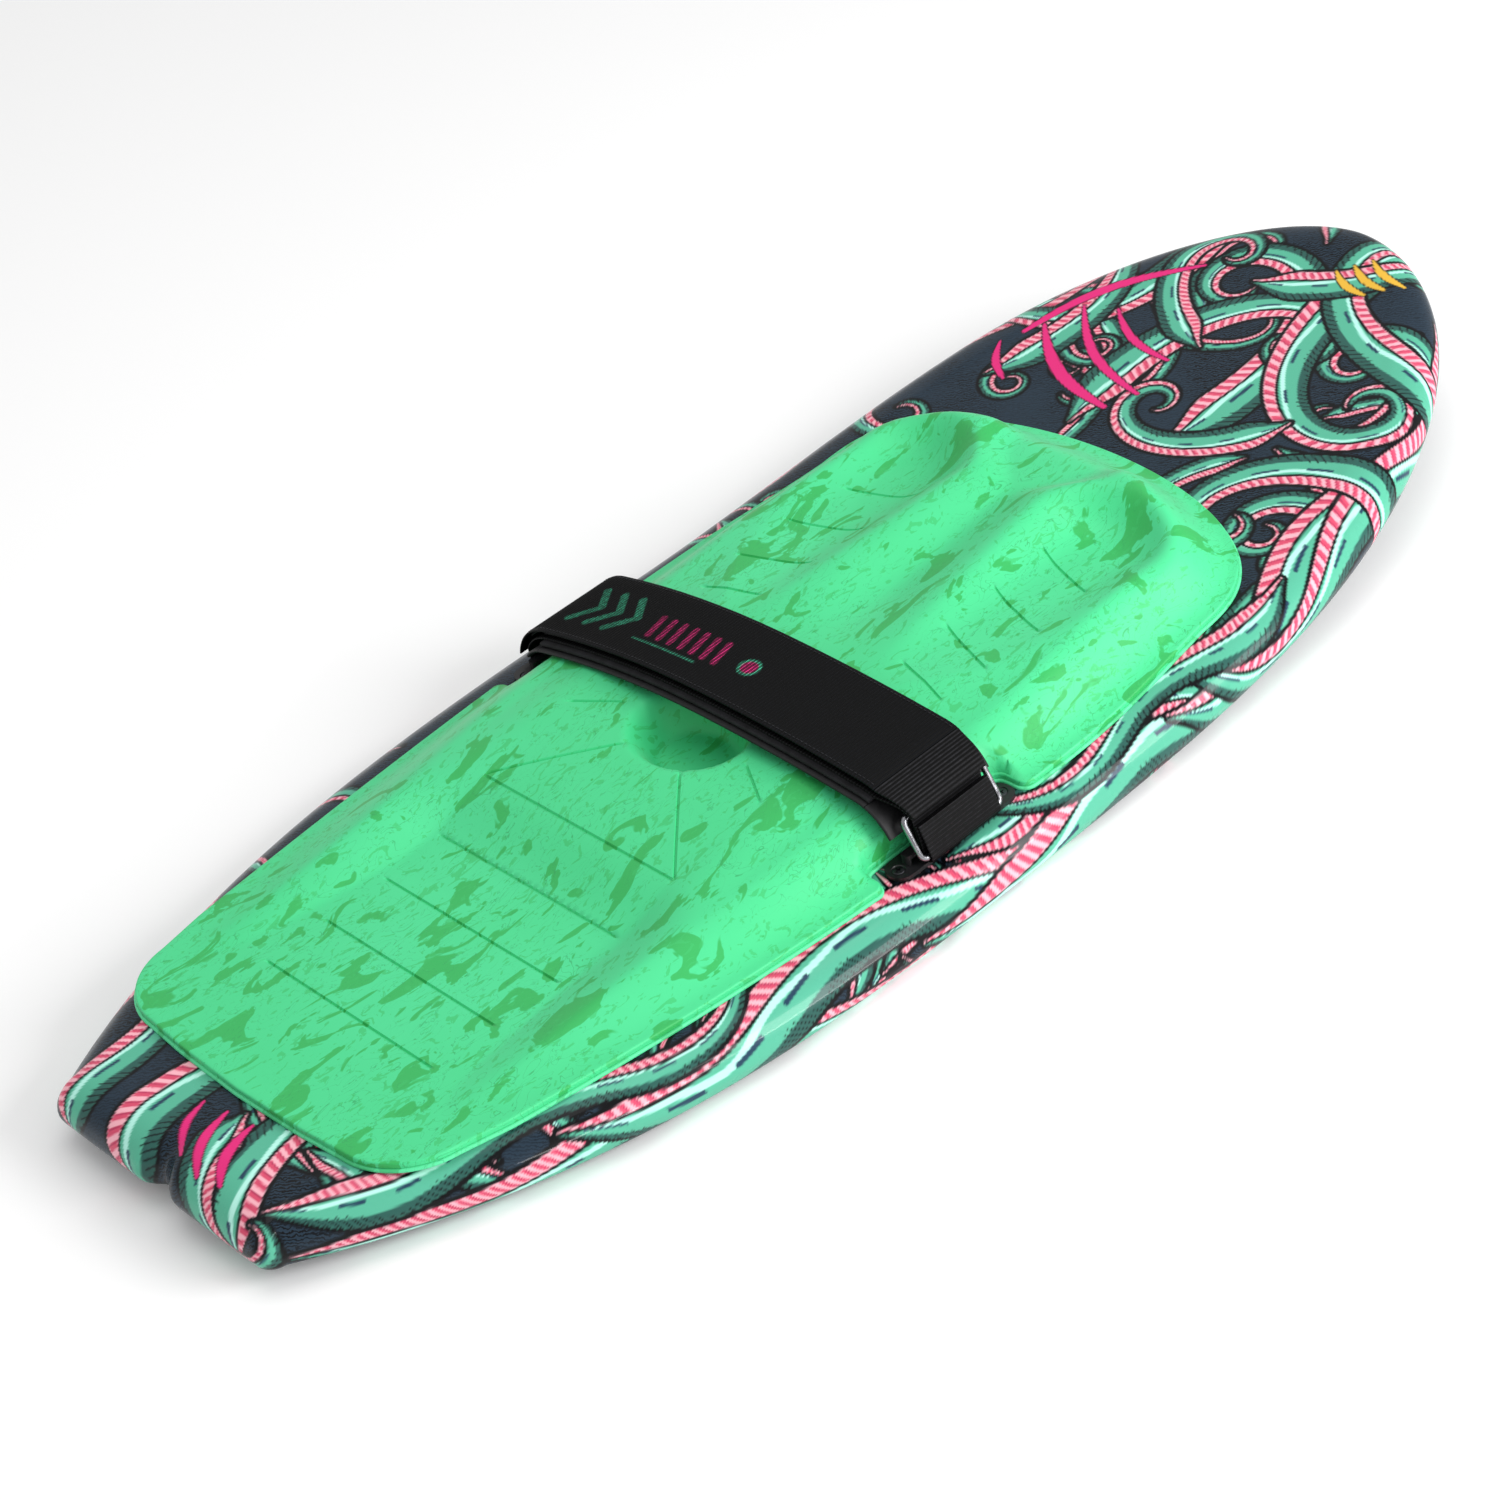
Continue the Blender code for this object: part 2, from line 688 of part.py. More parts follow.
def build_strap_legs():
    """The ends of the strap that stay at the anchors."""
    cut = CUT_ANGLE + GAP / SHOULDER_RADIUS / 2
    layer("near_lining_leg", LINING, lambda h: wrap_run(h, -1, cut, LINING_END_ANGLES[-1]), "lining")
    layer("far_lining_leg", LINING, lambda h: wrap_run(h, 1, cut, LINING_END_ANGLES[1]), "lining")
    height = (STANDING[0] + STANDING[1]) / 2
    bar_y, bar_z = -bracket_bar()[0], bracket_bar()[1]
    turn = BAR_WIDTH / 2 + GAP + WEBBING / 2
    under = bar_z - BAR_THICKNESS / 2 - GAP - WEBBING / 2
    path = wrap_run(height, 1, cut, LEG_LEAVES_SHOULDER)
    bend = WEBBING * 0.8
    path += [(bar_y + turn, bar_z + BAR_THICKNESS)]
    path += arc((bar_y + turn - bend, under + bend), bend, 0, -90, 4)
    path += [(bar_y - BAR_WIDTH, under)]
    strip("far_webbing_leg", path, (STANDING[2], FAR_END_WIDTH), WEBBING, "webbing")


def build_near_plies():
    """Both runs of webbing from the near shoulder, over the ring's inner bar."""
    over_keeper = WIRE_RADIUS + GAP + KEEPER + GAP + WEBBING / 2
    cut = CUT_ANGLE + GAP / SHOULDER_RADIUS / 2
    for name, sizes, rise in (
        ("near_ply_lower", STANDING, over_keeper),
        ("near_ply_upper", TAIL, over_keeper + WEBBING + GAP),
    ):
        start = (sizes[0] + sizes[1]) / 2
        end = RING_REACH - SHOULDER_RADIUS + rise
        past = RING_ANGLE + PLY_PAST_BAR / RING_REACH
        path = []
        for k in range(7):
            share = k / 6
            climb = ease(share * (past - cut) / (RING_ANGLE - cut))
            path.append(wrap_point(cut + (past - cut) * share, start + (end - start) * climb, -1))
        strip(name, path, (PLY_WIDTH, RING_PLY_WIDTH), WEBBING, "webbing")


def build_ring(pivot):
    """A welded wire ring with round corners."""
    half = RING_LENGTH / 2 - RING_CORNER
    corners = (
        (half, -RING_CORNER, 90), (half, -RING_HEIGHT + RING_CORNER, 0),
        (-half, -RING_HEIGHT + RING_CORNER, -90), (-half, -RING_CORNER, -180),
    )
    points = []
    for x, y, start in corners:
        for k in range(5):
            angle = math.radians(start - 90 * k / 4)
            points.append((x + RING_CORNER * math.cos(angle), y + RING_CORNER * math.sin(angle)))
    curve = bpy.data.curves.new("ring_wire", "CURVE")
    curve.dimensions = "3D"
    curve.bevel_depth = WIRE_RADIUS
    curve.bevel_resolution = 2
    spline = curve.splines.new("POLY")
    spline.points.add(len(points) - 1)
    for point, (x, y) in zip(spline.points, points):
        point.co = (x, y, 0, 1)
    spline.use_cyclic_u = True
    curve.materials.append(principled("ring_steel"))
    ring = bpy.data.objects.new("steel_ring", curve)
    parts.objects.link(ring)
    ring.parent = pivot
    ring.rotation_euler = (RING_SLOPE, 0, 0)


def build_ring_fold(pivot):
    """The webbing's turn round the ring's outer bar."""
    inner, outer = ring_bars()
    slope = math.degrees(RING_SLOPE)
    turn = WIRE_RADIUS + GAP + WEBBING / 2
    over = WIRE_RADIUS + 2 * GAP + KEEPER + 1.5 * WEBBING + GAP
    out = Vector((-math.cos(RING_SLOPE), -math.sin(RING_SLOPE)))
    up = Vector((-math.sin(RING_SLOPE), math.cos(RING_SLOPE)))
    start = Vector(inner) + out * FOLD_FROM_BAR
    path = [tuple(start + up * over * FOLD_RISE[0])]
    path += arc(outer, turn, 96 + slope, 285 + slope, 9)
    path += [tuple(start + up * over * FOLD_RISE[1])]
    hang_on(strip("ring_fold", path, (FOLD_WIDTH, FOLD_WIDTH), WEBBING, "webbing"), pivot)


def build_keeper():
    """A loop of webbing round the ring's inner bar and the near bracket's bar."""
    inner, _ = ring_bars()
    low = bracket_bar()
    top_turn = WIRE_RADIUS + GAP + KEEPER / 2
    half_bar = BAR_WIDTH / 2 + GAP + KEEPER / 2
    half_height = BAR_THICKNESS / 2 + GAP + KEEPER / 2
    lean = math.degrees(math.atan2(low[0] - inner[0], inner[1] - low[1]))
    path = arc(inner, top_turn, lean, 180 + lean, 8)
    for out, low_first in ((-1, False), (1, True)):
        corner = [
            (low[0] + out * half_bar, low[1] + BAR_THICKNESS / 2),
            (low[0] + out * half_bar, low[1] - half_height + KEEPER_BEND * 1.5),
            (low[0] + out * (half_bar - KEEPER_BEND), low[1] - half_height),
        ]
        path += corner[::-1] if low_first else corner
    path += [(inner[0] - KEEPER_SLACK[0], inner[1] - KEEPER_SLACK[1])]
    strip("ring_keeper", path, (KEEPER_WIDTH, KEEPER_WIDTH), KEEPER, "webbing", closed=True)


# ---------------------------------------------------------------- anchors and fasteners


def box_mesh(size, round_corners=0.0):
    """A box about the origin, with its upright edges rounded."""
    bm = bmesh.new()
    bmesh.ops.create_cube(bm, size=1.0)
    bmesh.ops.scale(bm, vec=size, verts=bm.verts)
    if round_corners:
        upright = [e for e in bm.edges if abs(e.verts[0].co.z - e.verts[1].co.z) > size[2] / 2]
        bmesh.ops.bevel(bm, geom=upright, offset=round_corners, segments=5, affect="EDGES", profile=0.5)
    return mesh_from(bm)


def turned_mesh(profile, steps=20):
    """A closed profile of (radius, height) points, spun about Z."""
    bm = bmesh.new()
    columns = []
    for k in range(steps):
        angle = 2 * math.pi * k / steps
        columns.append([bm.verts.new((r * math.cos(angle), r * math.sin(angle), z)) for r, z in profile])
    for k in range(steps):
        here, there = columns[k], columns[(k + 1) % steps]
        for i in range(len(profile)):
            j = (i + 1) % len(profile)
            bm.faces.new((here[i], there[i], there[j], here[j]))
    return mesh_from(bm)


def cylinder_mesh(radius, depth, radius_top=None, segments=24):
    bm = bmesh.new()
    top = radius if radius_top is None else radius_top
    bmesh.ops.create_cone(bm, cap_ends=True, segments=segments, radius1=radius, radius2=top, depth=depth)
    return mesh_from(bm)


def build_bracket(name, side):
    """A screwed-down plate with a raised bar that webbing passes under."""
    seat = deck_top(STRAP_X) + GAP
    plate_z = seat + PLATE_THICKNESS / 2
    plate = box_mesh((ANCHOR_LENGTH, ANCHOR_WIDTH, PLATE_THICKNESS), PLATE_END_RADIUS)
    bracket = add_part(name, plate, "anchor_plastic")
    bracket.location = (STRAP_X, side * ANCHOR_Y, plate_z)
    rise = SLOT_HEIGHT + BAR_THICKNESS
    bridge_height = rise + PLATE_THICKNESS / 2
    bridge_size = (SLOT_LENGTH + 2 * POST_LENGTH, BAR_WIDTH, bridge_height)
    bridge = add_cutter(name + "_bridge", box_mesh(bridge_size, BRIDGE_CORNER))
    bridge.location = (STRAP_X, side * ANCHOR_Y, seat + PLATE_THICKNESS / 2 + bridge_height / 2)
    combine(bracket, bridge, "UNION")
    slot = add_cutter(name + "_slot", box_mesh((SLOT_LENGTH, ANCHOR_WIDTH * 2, SLOT_HEIGHT)))
    slot.location = (STRAP_X, side * ANCHOR_Y, seat + PLATE_THICKNESS + SLOT_HEIGHT / 2)
    combine(bracket, slot, "DIFFERENCE")
    for end in (-1, 1):
        x = STRAP_X + end * SCREW_SPACING / 2
        sink = add_cutter(
            f"{name}_sink_{end}", cylinder_mesh(SCREW_RADIUS + GAP, HEAD_DEPTH + 2 * GAP, HEAD_RADIUS + 3 * GAP)
        )
        sink.location = (x, side * ANCHOR_Y, seat + PLATE_THICKNESS - HEAD_DEPTH / 2)
        combine(bracket, sink, "DIFFERENCE")
        hole = add_cutter(f"{name}_hole_{end}", cylinder_mesh(SCREW_RADIUS + GAP, PLATE_THICKNESS * 3))
        hole.location = (x, side * ANCHOR_Y, plate_z)
        combine(bracket, hole, "DIFFERENCE")


def build_fastener(place, x, y, deck_shell, foam_core):
    """A threaded insert let into the board, and the countersunk screw in it."""
    deck = deck_top(STRAP_X)
    insert_top = deck - GAP
    outside = [(INSERT_RADIUS, 0), (INSERT_RADIUS, -INSERT_LENGTH)]
    bore = [(INSERT_BORE, -INSERT_LENGTH), (INSERT_BORE, 0)]
    insert = add_part("insert_" + place, turned_mesh(outside + bore), "insert_brass")
    insert.location = (x, y, insert_top)
    pocket_depth = INSERT_LENGTH + 2 * GAP
    pocket_mesh = cylinder_mesh(INSERT_RADIUS + POCKET_CLEARANCE, pocket_depth + POCKET_ABOVE)
    pocket = add_cutter("pocket_" + place, pocket_mesh)
    pocket.location = (x, y, deck + (POCKET_ABOVE - pocket_depth) / 2)
    combine(deck_shell, pocket, "DIFFERENCE")
    combine(foam_core, pocket, "DIFFERENCE")
    head_top = deck + GAP + PLATE_THICKNESS - GAP / 2
    screw_bm = bmesh.new()
    profile = ((0.0, 0.0), (HEAD_RADIUS, 0.0), (HEAD_RADIUS, -HEAD_RIM), (SCREW_RADIUS, -HEAD_DEPTH),
               (SCREW_RADIUS, -SCREW_LENGTH), (0.0, -SCREW_LENGTH))
    verts = [screw_bm.verts.new((r, 0, z)) for r, z in profile]
    for low, high in zip(verts, verts[1:]):
        screw_bm.edges.new((low, high))
    mesh = bpy.data.meshes.new("screw")
    screw_bm.to_mesh(mesh)
    screw_bm.free()
    screw = add_part("screw_" + place, mesh, "screw_steel")
    screw.location = (x, y, head_top)
    turn = screw.modifiers.new("turn", "SCREW")
    turn.steps = 20
    turn.render_steps = 20
    turn.use_merge_vertices = True
    turn.merge_threshold = 0.00001


# ---------------------------------------------------------------- assembly


clear_scene()
parts = new_collection("kneeboard")
cutters = new_collection("cutters")
cutters.hide_render = True

deck_shell = build_shell("deck_shell", RAIL_ABOVE, -1, "deck_print", GAP / 2)
base_shell = build_shell("base_shell", RAIL_BELOW, 0, "base_plastic", GAP / 2)
foam_core = build_core()
build_knee_pad()
build_pad_backing()
build_bracket("near_bracket", -1)
build_bracket("far_bracket", 1)
for side_name, side in (("near", -1), ("far", 1)):
    for end_name, end in (("rear", -1), ("front", 1)):
        x = STRAP_X + end * SCREW_SPACING / 2
        build_fastener(f"{side_name}_{end_name}", x, side * ANCHOR_Y, deck_shell, foam_core)

lift = joint_empty("strap_lift_pivot", (STRAP_X, 0, SHOULDERS[-1][1]))
peel_y, peel_z = wrap_point(CUT_ANGLE, TAIL[1], -1)
peel = joint_empty("tail_peel_pivot", (STRAP_X, peel_y, peel_z))
ring_y, ring_z = ring_bars()[0]
ring_axis = joint_empty("ring_pivot_axis", (STRAP_X, ring_y, ring_z))
build_strap_arch(lift)
build_strap_tail(peel)
build_strap_legs()
build_near_plies()
build_ring(ring_axis)
build_ring_fold(ring_axis)
build_keeper()
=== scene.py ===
import math

import bmesh
import bpy
import numpy as np
from mathutils import Matrix, Vector
from mathutils.geometry import delaunay_2d_cdt


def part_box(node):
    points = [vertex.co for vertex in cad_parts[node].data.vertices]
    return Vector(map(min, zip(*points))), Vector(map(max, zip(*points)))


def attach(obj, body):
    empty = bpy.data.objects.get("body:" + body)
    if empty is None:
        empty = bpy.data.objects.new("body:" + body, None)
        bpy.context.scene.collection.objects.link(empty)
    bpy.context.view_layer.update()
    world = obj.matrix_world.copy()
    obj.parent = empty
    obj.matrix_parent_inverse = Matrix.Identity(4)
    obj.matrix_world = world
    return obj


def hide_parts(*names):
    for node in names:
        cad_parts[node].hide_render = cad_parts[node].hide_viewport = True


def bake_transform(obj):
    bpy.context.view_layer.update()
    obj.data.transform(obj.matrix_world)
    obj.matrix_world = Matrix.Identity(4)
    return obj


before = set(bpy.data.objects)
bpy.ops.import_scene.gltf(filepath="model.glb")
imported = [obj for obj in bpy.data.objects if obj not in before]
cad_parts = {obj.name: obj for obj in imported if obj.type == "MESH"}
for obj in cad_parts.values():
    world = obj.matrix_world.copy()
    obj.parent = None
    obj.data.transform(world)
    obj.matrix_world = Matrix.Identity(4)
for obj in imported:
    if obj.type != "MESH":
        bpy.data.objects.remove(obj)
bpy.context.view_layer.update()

# ---------------------------------------------------------------- sizes, in metres, shared with the frame

BOARD_LENGTH = 1.320
HALF_WIDTH = 0.252
TAIL_HALF_WIDTH = 0.118
WIDEST_AT = 0.558
REAR_FLARE = 0.84
NOSE_POWER = 2.88
NOSE_ROUND = 1.81
TAIL_CORNER = 0.012
NOTCH_HALF_WIDTH = 0.024
NOTCH_DEPTH = 0.010
NOSE_RISE = 0.0906
NOSE_RISE_FROM = 0.50
TAIL_RISE = 0.0117
TAIL_RISE_TO = 0.35
RAIL_HEIGHT = 0.041
NOSE_THINNING = 0.35
NOSE_THINNING_FROM = 0.80
DECK_SHARE = 1.05
# Rail section, as inset from the widest line and share of the rail's height
RAIL_ABOVE = (
    (0.046, 1.05), (0.034, 1.05), (0.020, 0.985), (0.009, 0.84), (0.0023, 0.62), (0.0, 0.43), (0.0, 0.38),
)
RAIL_BELOW = ((0.0, 0.38), (0.0, 0.33), (0.0035, 0.12), (0.0104, 0.0), (0.022, 0.0))

PAD_REAR = -0.573
PAD_FRONT = 0.328
PAD_REAR_BULGE = 0.006
PAD_CORNER = 0.060
PAD_SIDES = (
    (-0.573, 0.165), (-0.430, 0.187), (-0.295, 0.203), (-0.150, 0.214), (0.058, 0.219), (0.200, 0.206),
)
PAD_CAP_POWER = 2.8
STRAP_NOTCH = (-0.153, -0.012)
STRAP_NOTCH_WALL = 0.190
STRAP_NOTCH_CORNER = 0.009
GAP = 0.0004
BACKING_MARGIN = 0.002
BACKING_THICKNESS = 0.0022
FLANGE_THICKNESS = 0.0042
CREST = ((-0.573, 0.052), (-0.535, 0.056), (-0.400, 0.068), (-0.250, 0.081), (-0.170, 0.087),
         (-0.010, 0.089), (0.075, 0.097), (0.140, 0.102), (0.195, 0.107), (0.262, 0.112))
CHANNEL_FLOOR = ((-0.573, 0.052), (-0.320, 0.053), (-0.256, 0.073), (-0.190, 0.084), (-0.150, 0.087))
SIDE_FALL = ((-0.573, 0.0), (-0.450, 0.006), (-0.170, 0.009), (0.262, 0.010))
FALL_FROM = 0.085
FALL_TO = 0.170
CHANNEL_FOOT = 0.105
CHANNEL_CREST = 0.148
WELL_CENTRE = 0.105
WELL_START = -0.030
WELL_TURN = 0.205
WELL_NOSE = 0.058
WELL_SIDES = ((-0.030, 0.041), (0.075, 0.052), (0.205, 0.066))
WELL_FLOOR = ((-0.030, 0.089), (0.050, 0.087), (0.130, 0.085), (0.215, 0.082))
VALLEY_DEPTH = 0.013
VALLEY_LENGTH = 0.12
VALLEY_NARROWEST = 0.03
VALLEY_OPENS = (0.21, 0.06)
WELL_SEAM = 0.012
BOWL_CENTRE = -0.137
BOWL_HALF_LENGTH = 0.047
BOWL_HALF_WIDTH = 0.056
BOWL_DEPTH = 0.029
BOWL_SOFTNESS = 0.45
PAD_SLOPE = ((-0.573, 0.040), (-0.300, 0.050), (0.000, 0.054))
NOTCH_SLOPE = 0.028

STRAP_X = -0.079
CROWN_Z = 0.097
SHOULDERS = {-1: (0.164, 0.0512), 1: (0.172, 0.0400)}
SHOULDER_RADIUS = 0.038
CUT_ANGLE = math.radians(20)
LINING = (0.0, 0.0030, 0.104)
FOAM = (0.0034, 0.0070, 0.096)
STANDING = (0.0074, 0.0098, 0.088)
LOOP_TAPE = (0.0102, 0.0118, 0.080)
HOOK_TAPE = (0.0122, 0.0138, 0.080)
TAIL = (0.0142, 0.0166, 0.088)
WEBBING = 0.0024
FAR_END_WIDTH = 0.084
PLY_WIDTH = 0.088
RING_PLY_WIDTH = 0.0755
FOLD_WIDTH = 0.072
TAIL_END_ANGLE = math.radians(74)
LINING_END_ANGLES = {-1: math.radians(64), 1: math.radians(50)}

WIRE_RADIUS = 0.0025
RING_LENGTH = 0.082
RING_HEIGHT = 0.034
RING_CORNER = 0.005
RING_ANGLE = math.radians(52)
RING_REACH = 0.0505
RING_SLOPE = math.radians(62)
KEEPER = 0.0016
KEEPER_WIDTH = 0.071
KEEPER_BEND = 0.0006
KEEPER_SLACK = (0.0022, 0.0160)
KEEPER_STEP = 0.0008
WIRE_SIDES = 20
WIRE_STEP = 0.0016
# The ring's weld: how much the wire swells, and over how many steps
WELD = (0.05, 1.6)
# The folded ply: its first and last angles round the outer bar, and how high its two ends lie
FOLD_SWEEP = (96, 285)
FOLD_RISE = (0.82, 0.43)
PLY_PAST_BAR = 0.003
FOLD_FROM_BAR = 0.009

ANCHOR_Y = 0.2065
PLATE_THICKNESS = 0.0032
SLOT_HEIGHT = 0.0046
BAR_WIDTH = 0.008
BAR_THICKNESS = 0.0038
HEAD_RADIUS = 0.0046
HEAD_DEPTH = 0.0026
SHANK_RADIUS = 0.0022
# The cross recess: length and width of each arm, and the cutter's height
DRIVE = (0.0050, 0.0010, 0.0028)
SCREW_SPACING = 0.108

# ---------------------------------------------------------------- camera, floor and light

CAMERA_AZIMUTH = math.radians(-126.885)
CAMERA_ELEVATION = math.radians(36.847)
CAMERA_ROLL = math.radians(-11.505)
CAMERA_DISTANCE = 2.74856
CAMERA_TARGET = Vector((-0.06005, 0.03541, 0.0))
CAMERA_LENS = 85.04
SENSOR_WIDTH = 36.0
WORLD_STRENGTH = 0.66
# Name, place, what it shines on, size and power
LIGHTS = (
    ("key", (1.0, -2.25, 1.40), (0.0, 0.0, 0.0), (1.5, 1.1), 54),
    ("top", (0.1, 0.2, 3.2), (0.0, 0.0, 0.0), (2.6, 1.8), 20),
    ("rail_glint", (0.4, -2.6, 0.9), (0.1, -0.2, 0.05), (2.6, 0.12), 18),
)
FLOOR_REACH = 12.0
FLOOR_TONE = 0.96
FLOOR_GLOW = 0.03


def build_camera():
    """The photograph's viewing angle, from its bearing, height, roll and distance."""
    level = math.cos(CAMERA_ELEVATION)
    across, along_view = math.cos(CAMERA_AZIMUTH), math.sin(CAMERA_AZIMUTH)
    back = Vector((across * level, along_view * level, math.sin(CAMERA_ELEVATION)))
    flat_right = Vector((-along_view, across, 0))
    flat_up = back.cross(flat_right)
    right = flat_right * math.cos(CAMERA_ROLL) + flat_up * math.sin(CAMERA_ROLL)
    up = flat_up * math.cos(CAMERA_ROLL) - flat_right * math.sin(CAMERA_ROLL)
    place = CAMERA_TARGET + back * CAMERA_DISTANCE
    data = bpy.data.cameras.new("camera")
    data.lens = CAMERA_LENS
    data.sensor_width = SENSOR_WIDTH
    camera = in_scene("camera", data)
    camera.matrix_world = Matrix((
        (right.x, up.x, back.x, place.x), (right.y, up.y, back.y, place.y),
        (right.z, up.z, back.z, place.z), (0, 0, 0, 1),
    ))
    bpy.context.scene.camera = camera


def in_scene(name, data):
    """A new object, linked into the scene."""
    made = bpy.data.objects.new(name, data)
    bpy.context.scene.collection.objects.link(made)
    return made


def area_light(name, place, target, size, power):
    data = bpy.data.lights.new(name, "AREA")
    data.shape = "RECTANGLE"
    data.size, data.size_y = size
    data.energy = power
    light = in_scene(name, data)
    light.location = place
    light.rotation_euler = (Vector(target) - Vector(place)).to_track_quat("-Z", "Y").to_euler()


def build_studio():
    world = bpy.data.worlds.new("studio")
    world.use_nodes = True
    sky = world.node_tree.nodes["Background"].inputs
    sky["Color"].default_value = (1.0, 1.0, 1.0, 1.0)
    sky["Strength"].default_value = WORLD_STRENGTH
    bpy.context.scene.world = world
    bpy.context.scene.view_settings.view_transform = "Standard"
    for light in LIGHTS:
        area_light(*light)
    mesh = bpy.data.meshes.new("floor")
    corners = [(x * FLOOR_REACH, y * FLOOR_REACH, 0) for x, y in ((-1, -1), (1, -1), (1, 1), (-1, 1))]
    mesh.from_pydata(corners, [], [(0, 1, 2, 3)])
    floor = in_scene("floor", mesh)
    material = new_material("floor_pale", grey(FLOOR_TONE), 0.9)
    set_inputs(shader_of(material), Emission_Color=(1.0, 1.0, 1.0, 1.0), Emission_Strength=FLOOR_GLOW)
    mesh.materials.append(material)


# ---------------------------------------------------------------- shared curves


def smooth(value):
    value = np.clip(value, 0.0, 1.0)
    return value * value * (3 - 2 * value)


def through(x, stations):
    """A smooth curve through (x, value) stations, level outside them."""
    xs, vs = np.array(stations, float).T
    slopes = np.empty(len(xs))
    slopes[1:-1] = (vs[2:] - vs[:-2]) / (xs[2:] - xs[:-2])
    slopes[0] = (vs[1] - vs[0]) / (xs[1] - xs[0])
    slopes[-1] = (vs[-1] - vs[-2]) / (xs[-1] - xs[-2])
    x = np.clip(x, xs[0], xs[-1])
    i = np.clip(np.searchsorted(xs, x, "right") - 1, 0, len(xs) - 2)
    span = xs[i + 1] - xs[i]
    t = (x - xs[i]) / span
    blend = smooth(t)
    bend = span * (slopes[i] * t * (1 - t) ** 2 - slopes[i + 1] * t * t * (1 - t))
    return vs[i] * (1 - blend) + vs[i + 1] * blend + bend


def along(x):
    return x / BOARD_LENGTH + 0.5


def rocker(x):
    """Height of the bottom above the ground."""
    t = along(x)
    nose = np.clip((t - NOSE_RISE_FROM) / (1 - NOSE_RISE_FROM), 0, 1) ** 2
    tail = np.clip((TAIL_RISE_TO - t) / TAIL_RISE_TO, 0, 1) ** 2
    return NOSE_RISE * nose + TAIL_RISE * tail


def rail_height(x):
    thinned = smooth((along(x) - NOSE_THINNING_FROM) / (1 - NOSE_THINNING_FROM))
    return RAIL_HEIGHT * (1 - NOSE_THINNING * thinned)


def deck_top(x):
    return rocker(x) + DECK_SHARE * rail_height(x)


def board_half_width(t):
    s = t / WIDEST_AT
    flare = REAR_FLARE * WIDEST_AT * (s ** 3 - 2 * s * s + s)
    rear = TAIL_HALF_WIDTH + (HALF_WIDTH - TAIL_HALF_WIDTH) * s * s * (3 - 2 * s) + flare
    v = np.clip((t - WIDEST_AT) / (1 - WIDEST_AT), 0, 1)
    front = HALF_WIDTH * np.clip(1 - v ** NOSE_POWER, 0, 1) ** (1 / NOSE_ROUND)
    return np.where(t < WIDEST_AT, rear, front)


def resampled(path, step):
    """Points spaced evenly along a path, with both its ends kept."""
    path = np.asarray(path, float)
    run = np.concatenate([[0], np.cumsum(np.linalg.norm(np.diff(path, axis=0), axis=1))])
    count = max(2, int(round(run[-1] / step)))
    places = np.linspace(0, run[-1], count + 1)
    return np.column_stack([np.interp(places, run, path[:, k]) for k in range(path.shape[1])])


def unit(rows):
    return rows / np.linalg.norm(rows, axis=1)[:, None]


def way_round(loop):
    """The direction along a closed loop at each of its points."""
    return unit(np.roll(loop, -1, axis=0) - np.roll(loop, 1, axis=0))


def mirrored(side):
    return np.vstack([side, side[-2:0:-1] * (1, -1)])


def board_outline(step):
    """Plan at the widest line, evenly spaced: the tail's middle, round +Y to the nose, and back."""
    rear = -BOARD_LENGTH / 2
    y = np.linspace(0, NOTCH_HALF_WIDTH, 40)
    notch = np.column_stack([rear + NOTCH_DEPTH * (1 + np.cos(math.pi * y / NOTCH_HALF_WIDTH)) / 2, y])
    first = TAIL_CORNER / BOARD_LENGTH
    angle = np.radians(np.linspace(0, 90, 24))
    centre_y = board_half_width(np.array(first)) - TAIL_CORNER
    corner_x = rear + TAIL_CORNER * (1 - np.cos(angle))
    corner = np.column_stack([corner_x, centre_y + TAIL_CORNER * np.sin(angle)])
    t = np.linspace(first, WIDEST_AT, 200)[1:]
    rear_side = np.column_stack([rear + BOARD_LENGTH * t, board_half_width(t)])
    t = WIDEST_AT + (1 - WIDEST_AT) * np.sin(np.radians(np.linspace(0, 90, 700)))[1:]
    front_side = np.column_stack([rear + BOARD_LENGTH * t, board_half_width(t)])
    front_side[-1] = (BOARD_LENGTH / 2, 0)
    return mirrored(resampled(np.vstack([notch, corner, rear_side, front_side]), step))


def shrunk(outline, inset):
    return outline * (1 - 2 * inset / BOARD_LENGTH, 1 - inset / HALF_WIDTH)


def inside(points, outline):
    x, y = points[:, 0], points[:, 1]
    hit = np.zeros(len(points), bool)
    for (x0, y0), (x1, y1) in zip(outline, np.roll(outline, -1, axis=0)):
        if y0 != y1:
            hit ^= ((y0 > y) != (y1 > y)) & (x < x0 + (y - y0) * (x1 - x0) / (y1 - y0))
    return hit


def edge_distance(points, outline):
    """Distance from each point to a closed outline."""
    nearest = np.full(len(points), 1.0)
    for a, b in zip(outline, np.roll(outline, -1, axis=0)):
        run = b - a
        t = np.clip((points - a) @ run / (run @ run), 0, 1)
        nearest = np.minimum(nearest, np.linalg.norm(points - a - t[:, None] * run, axis=1))
    return nearest


def staggered(low, high, step):
    """Staggered grid points between two corners."""
    rows = np.arange(low[1], high[1], step * 0.866)
    found = []
    for k, y in enumerate(rows):
        x = np.arange(low[0] + (k % 2) * step / 2, high[0], step)
        found.append(np.column_stack([x, np.full(len(x), y)]))
    return np.vstack(found)


def fill(rim, extra):
    """Triangles over a closed rim, through the extra points inside it."""
    count = len(rim)
    edges = [(i, (i + 1) % count) for i in range(count)]
    flat = [Vector(p) for p in np.vstack([rim, extra])] if len(extra) else [Vector(p) for p in rim]
    _, _, faces, origins, _, _ = delaunay_2d_cdt(flat, edges, [], 1, 1e-7)
    return [[origins[v][0] for v in face] for face in faces]


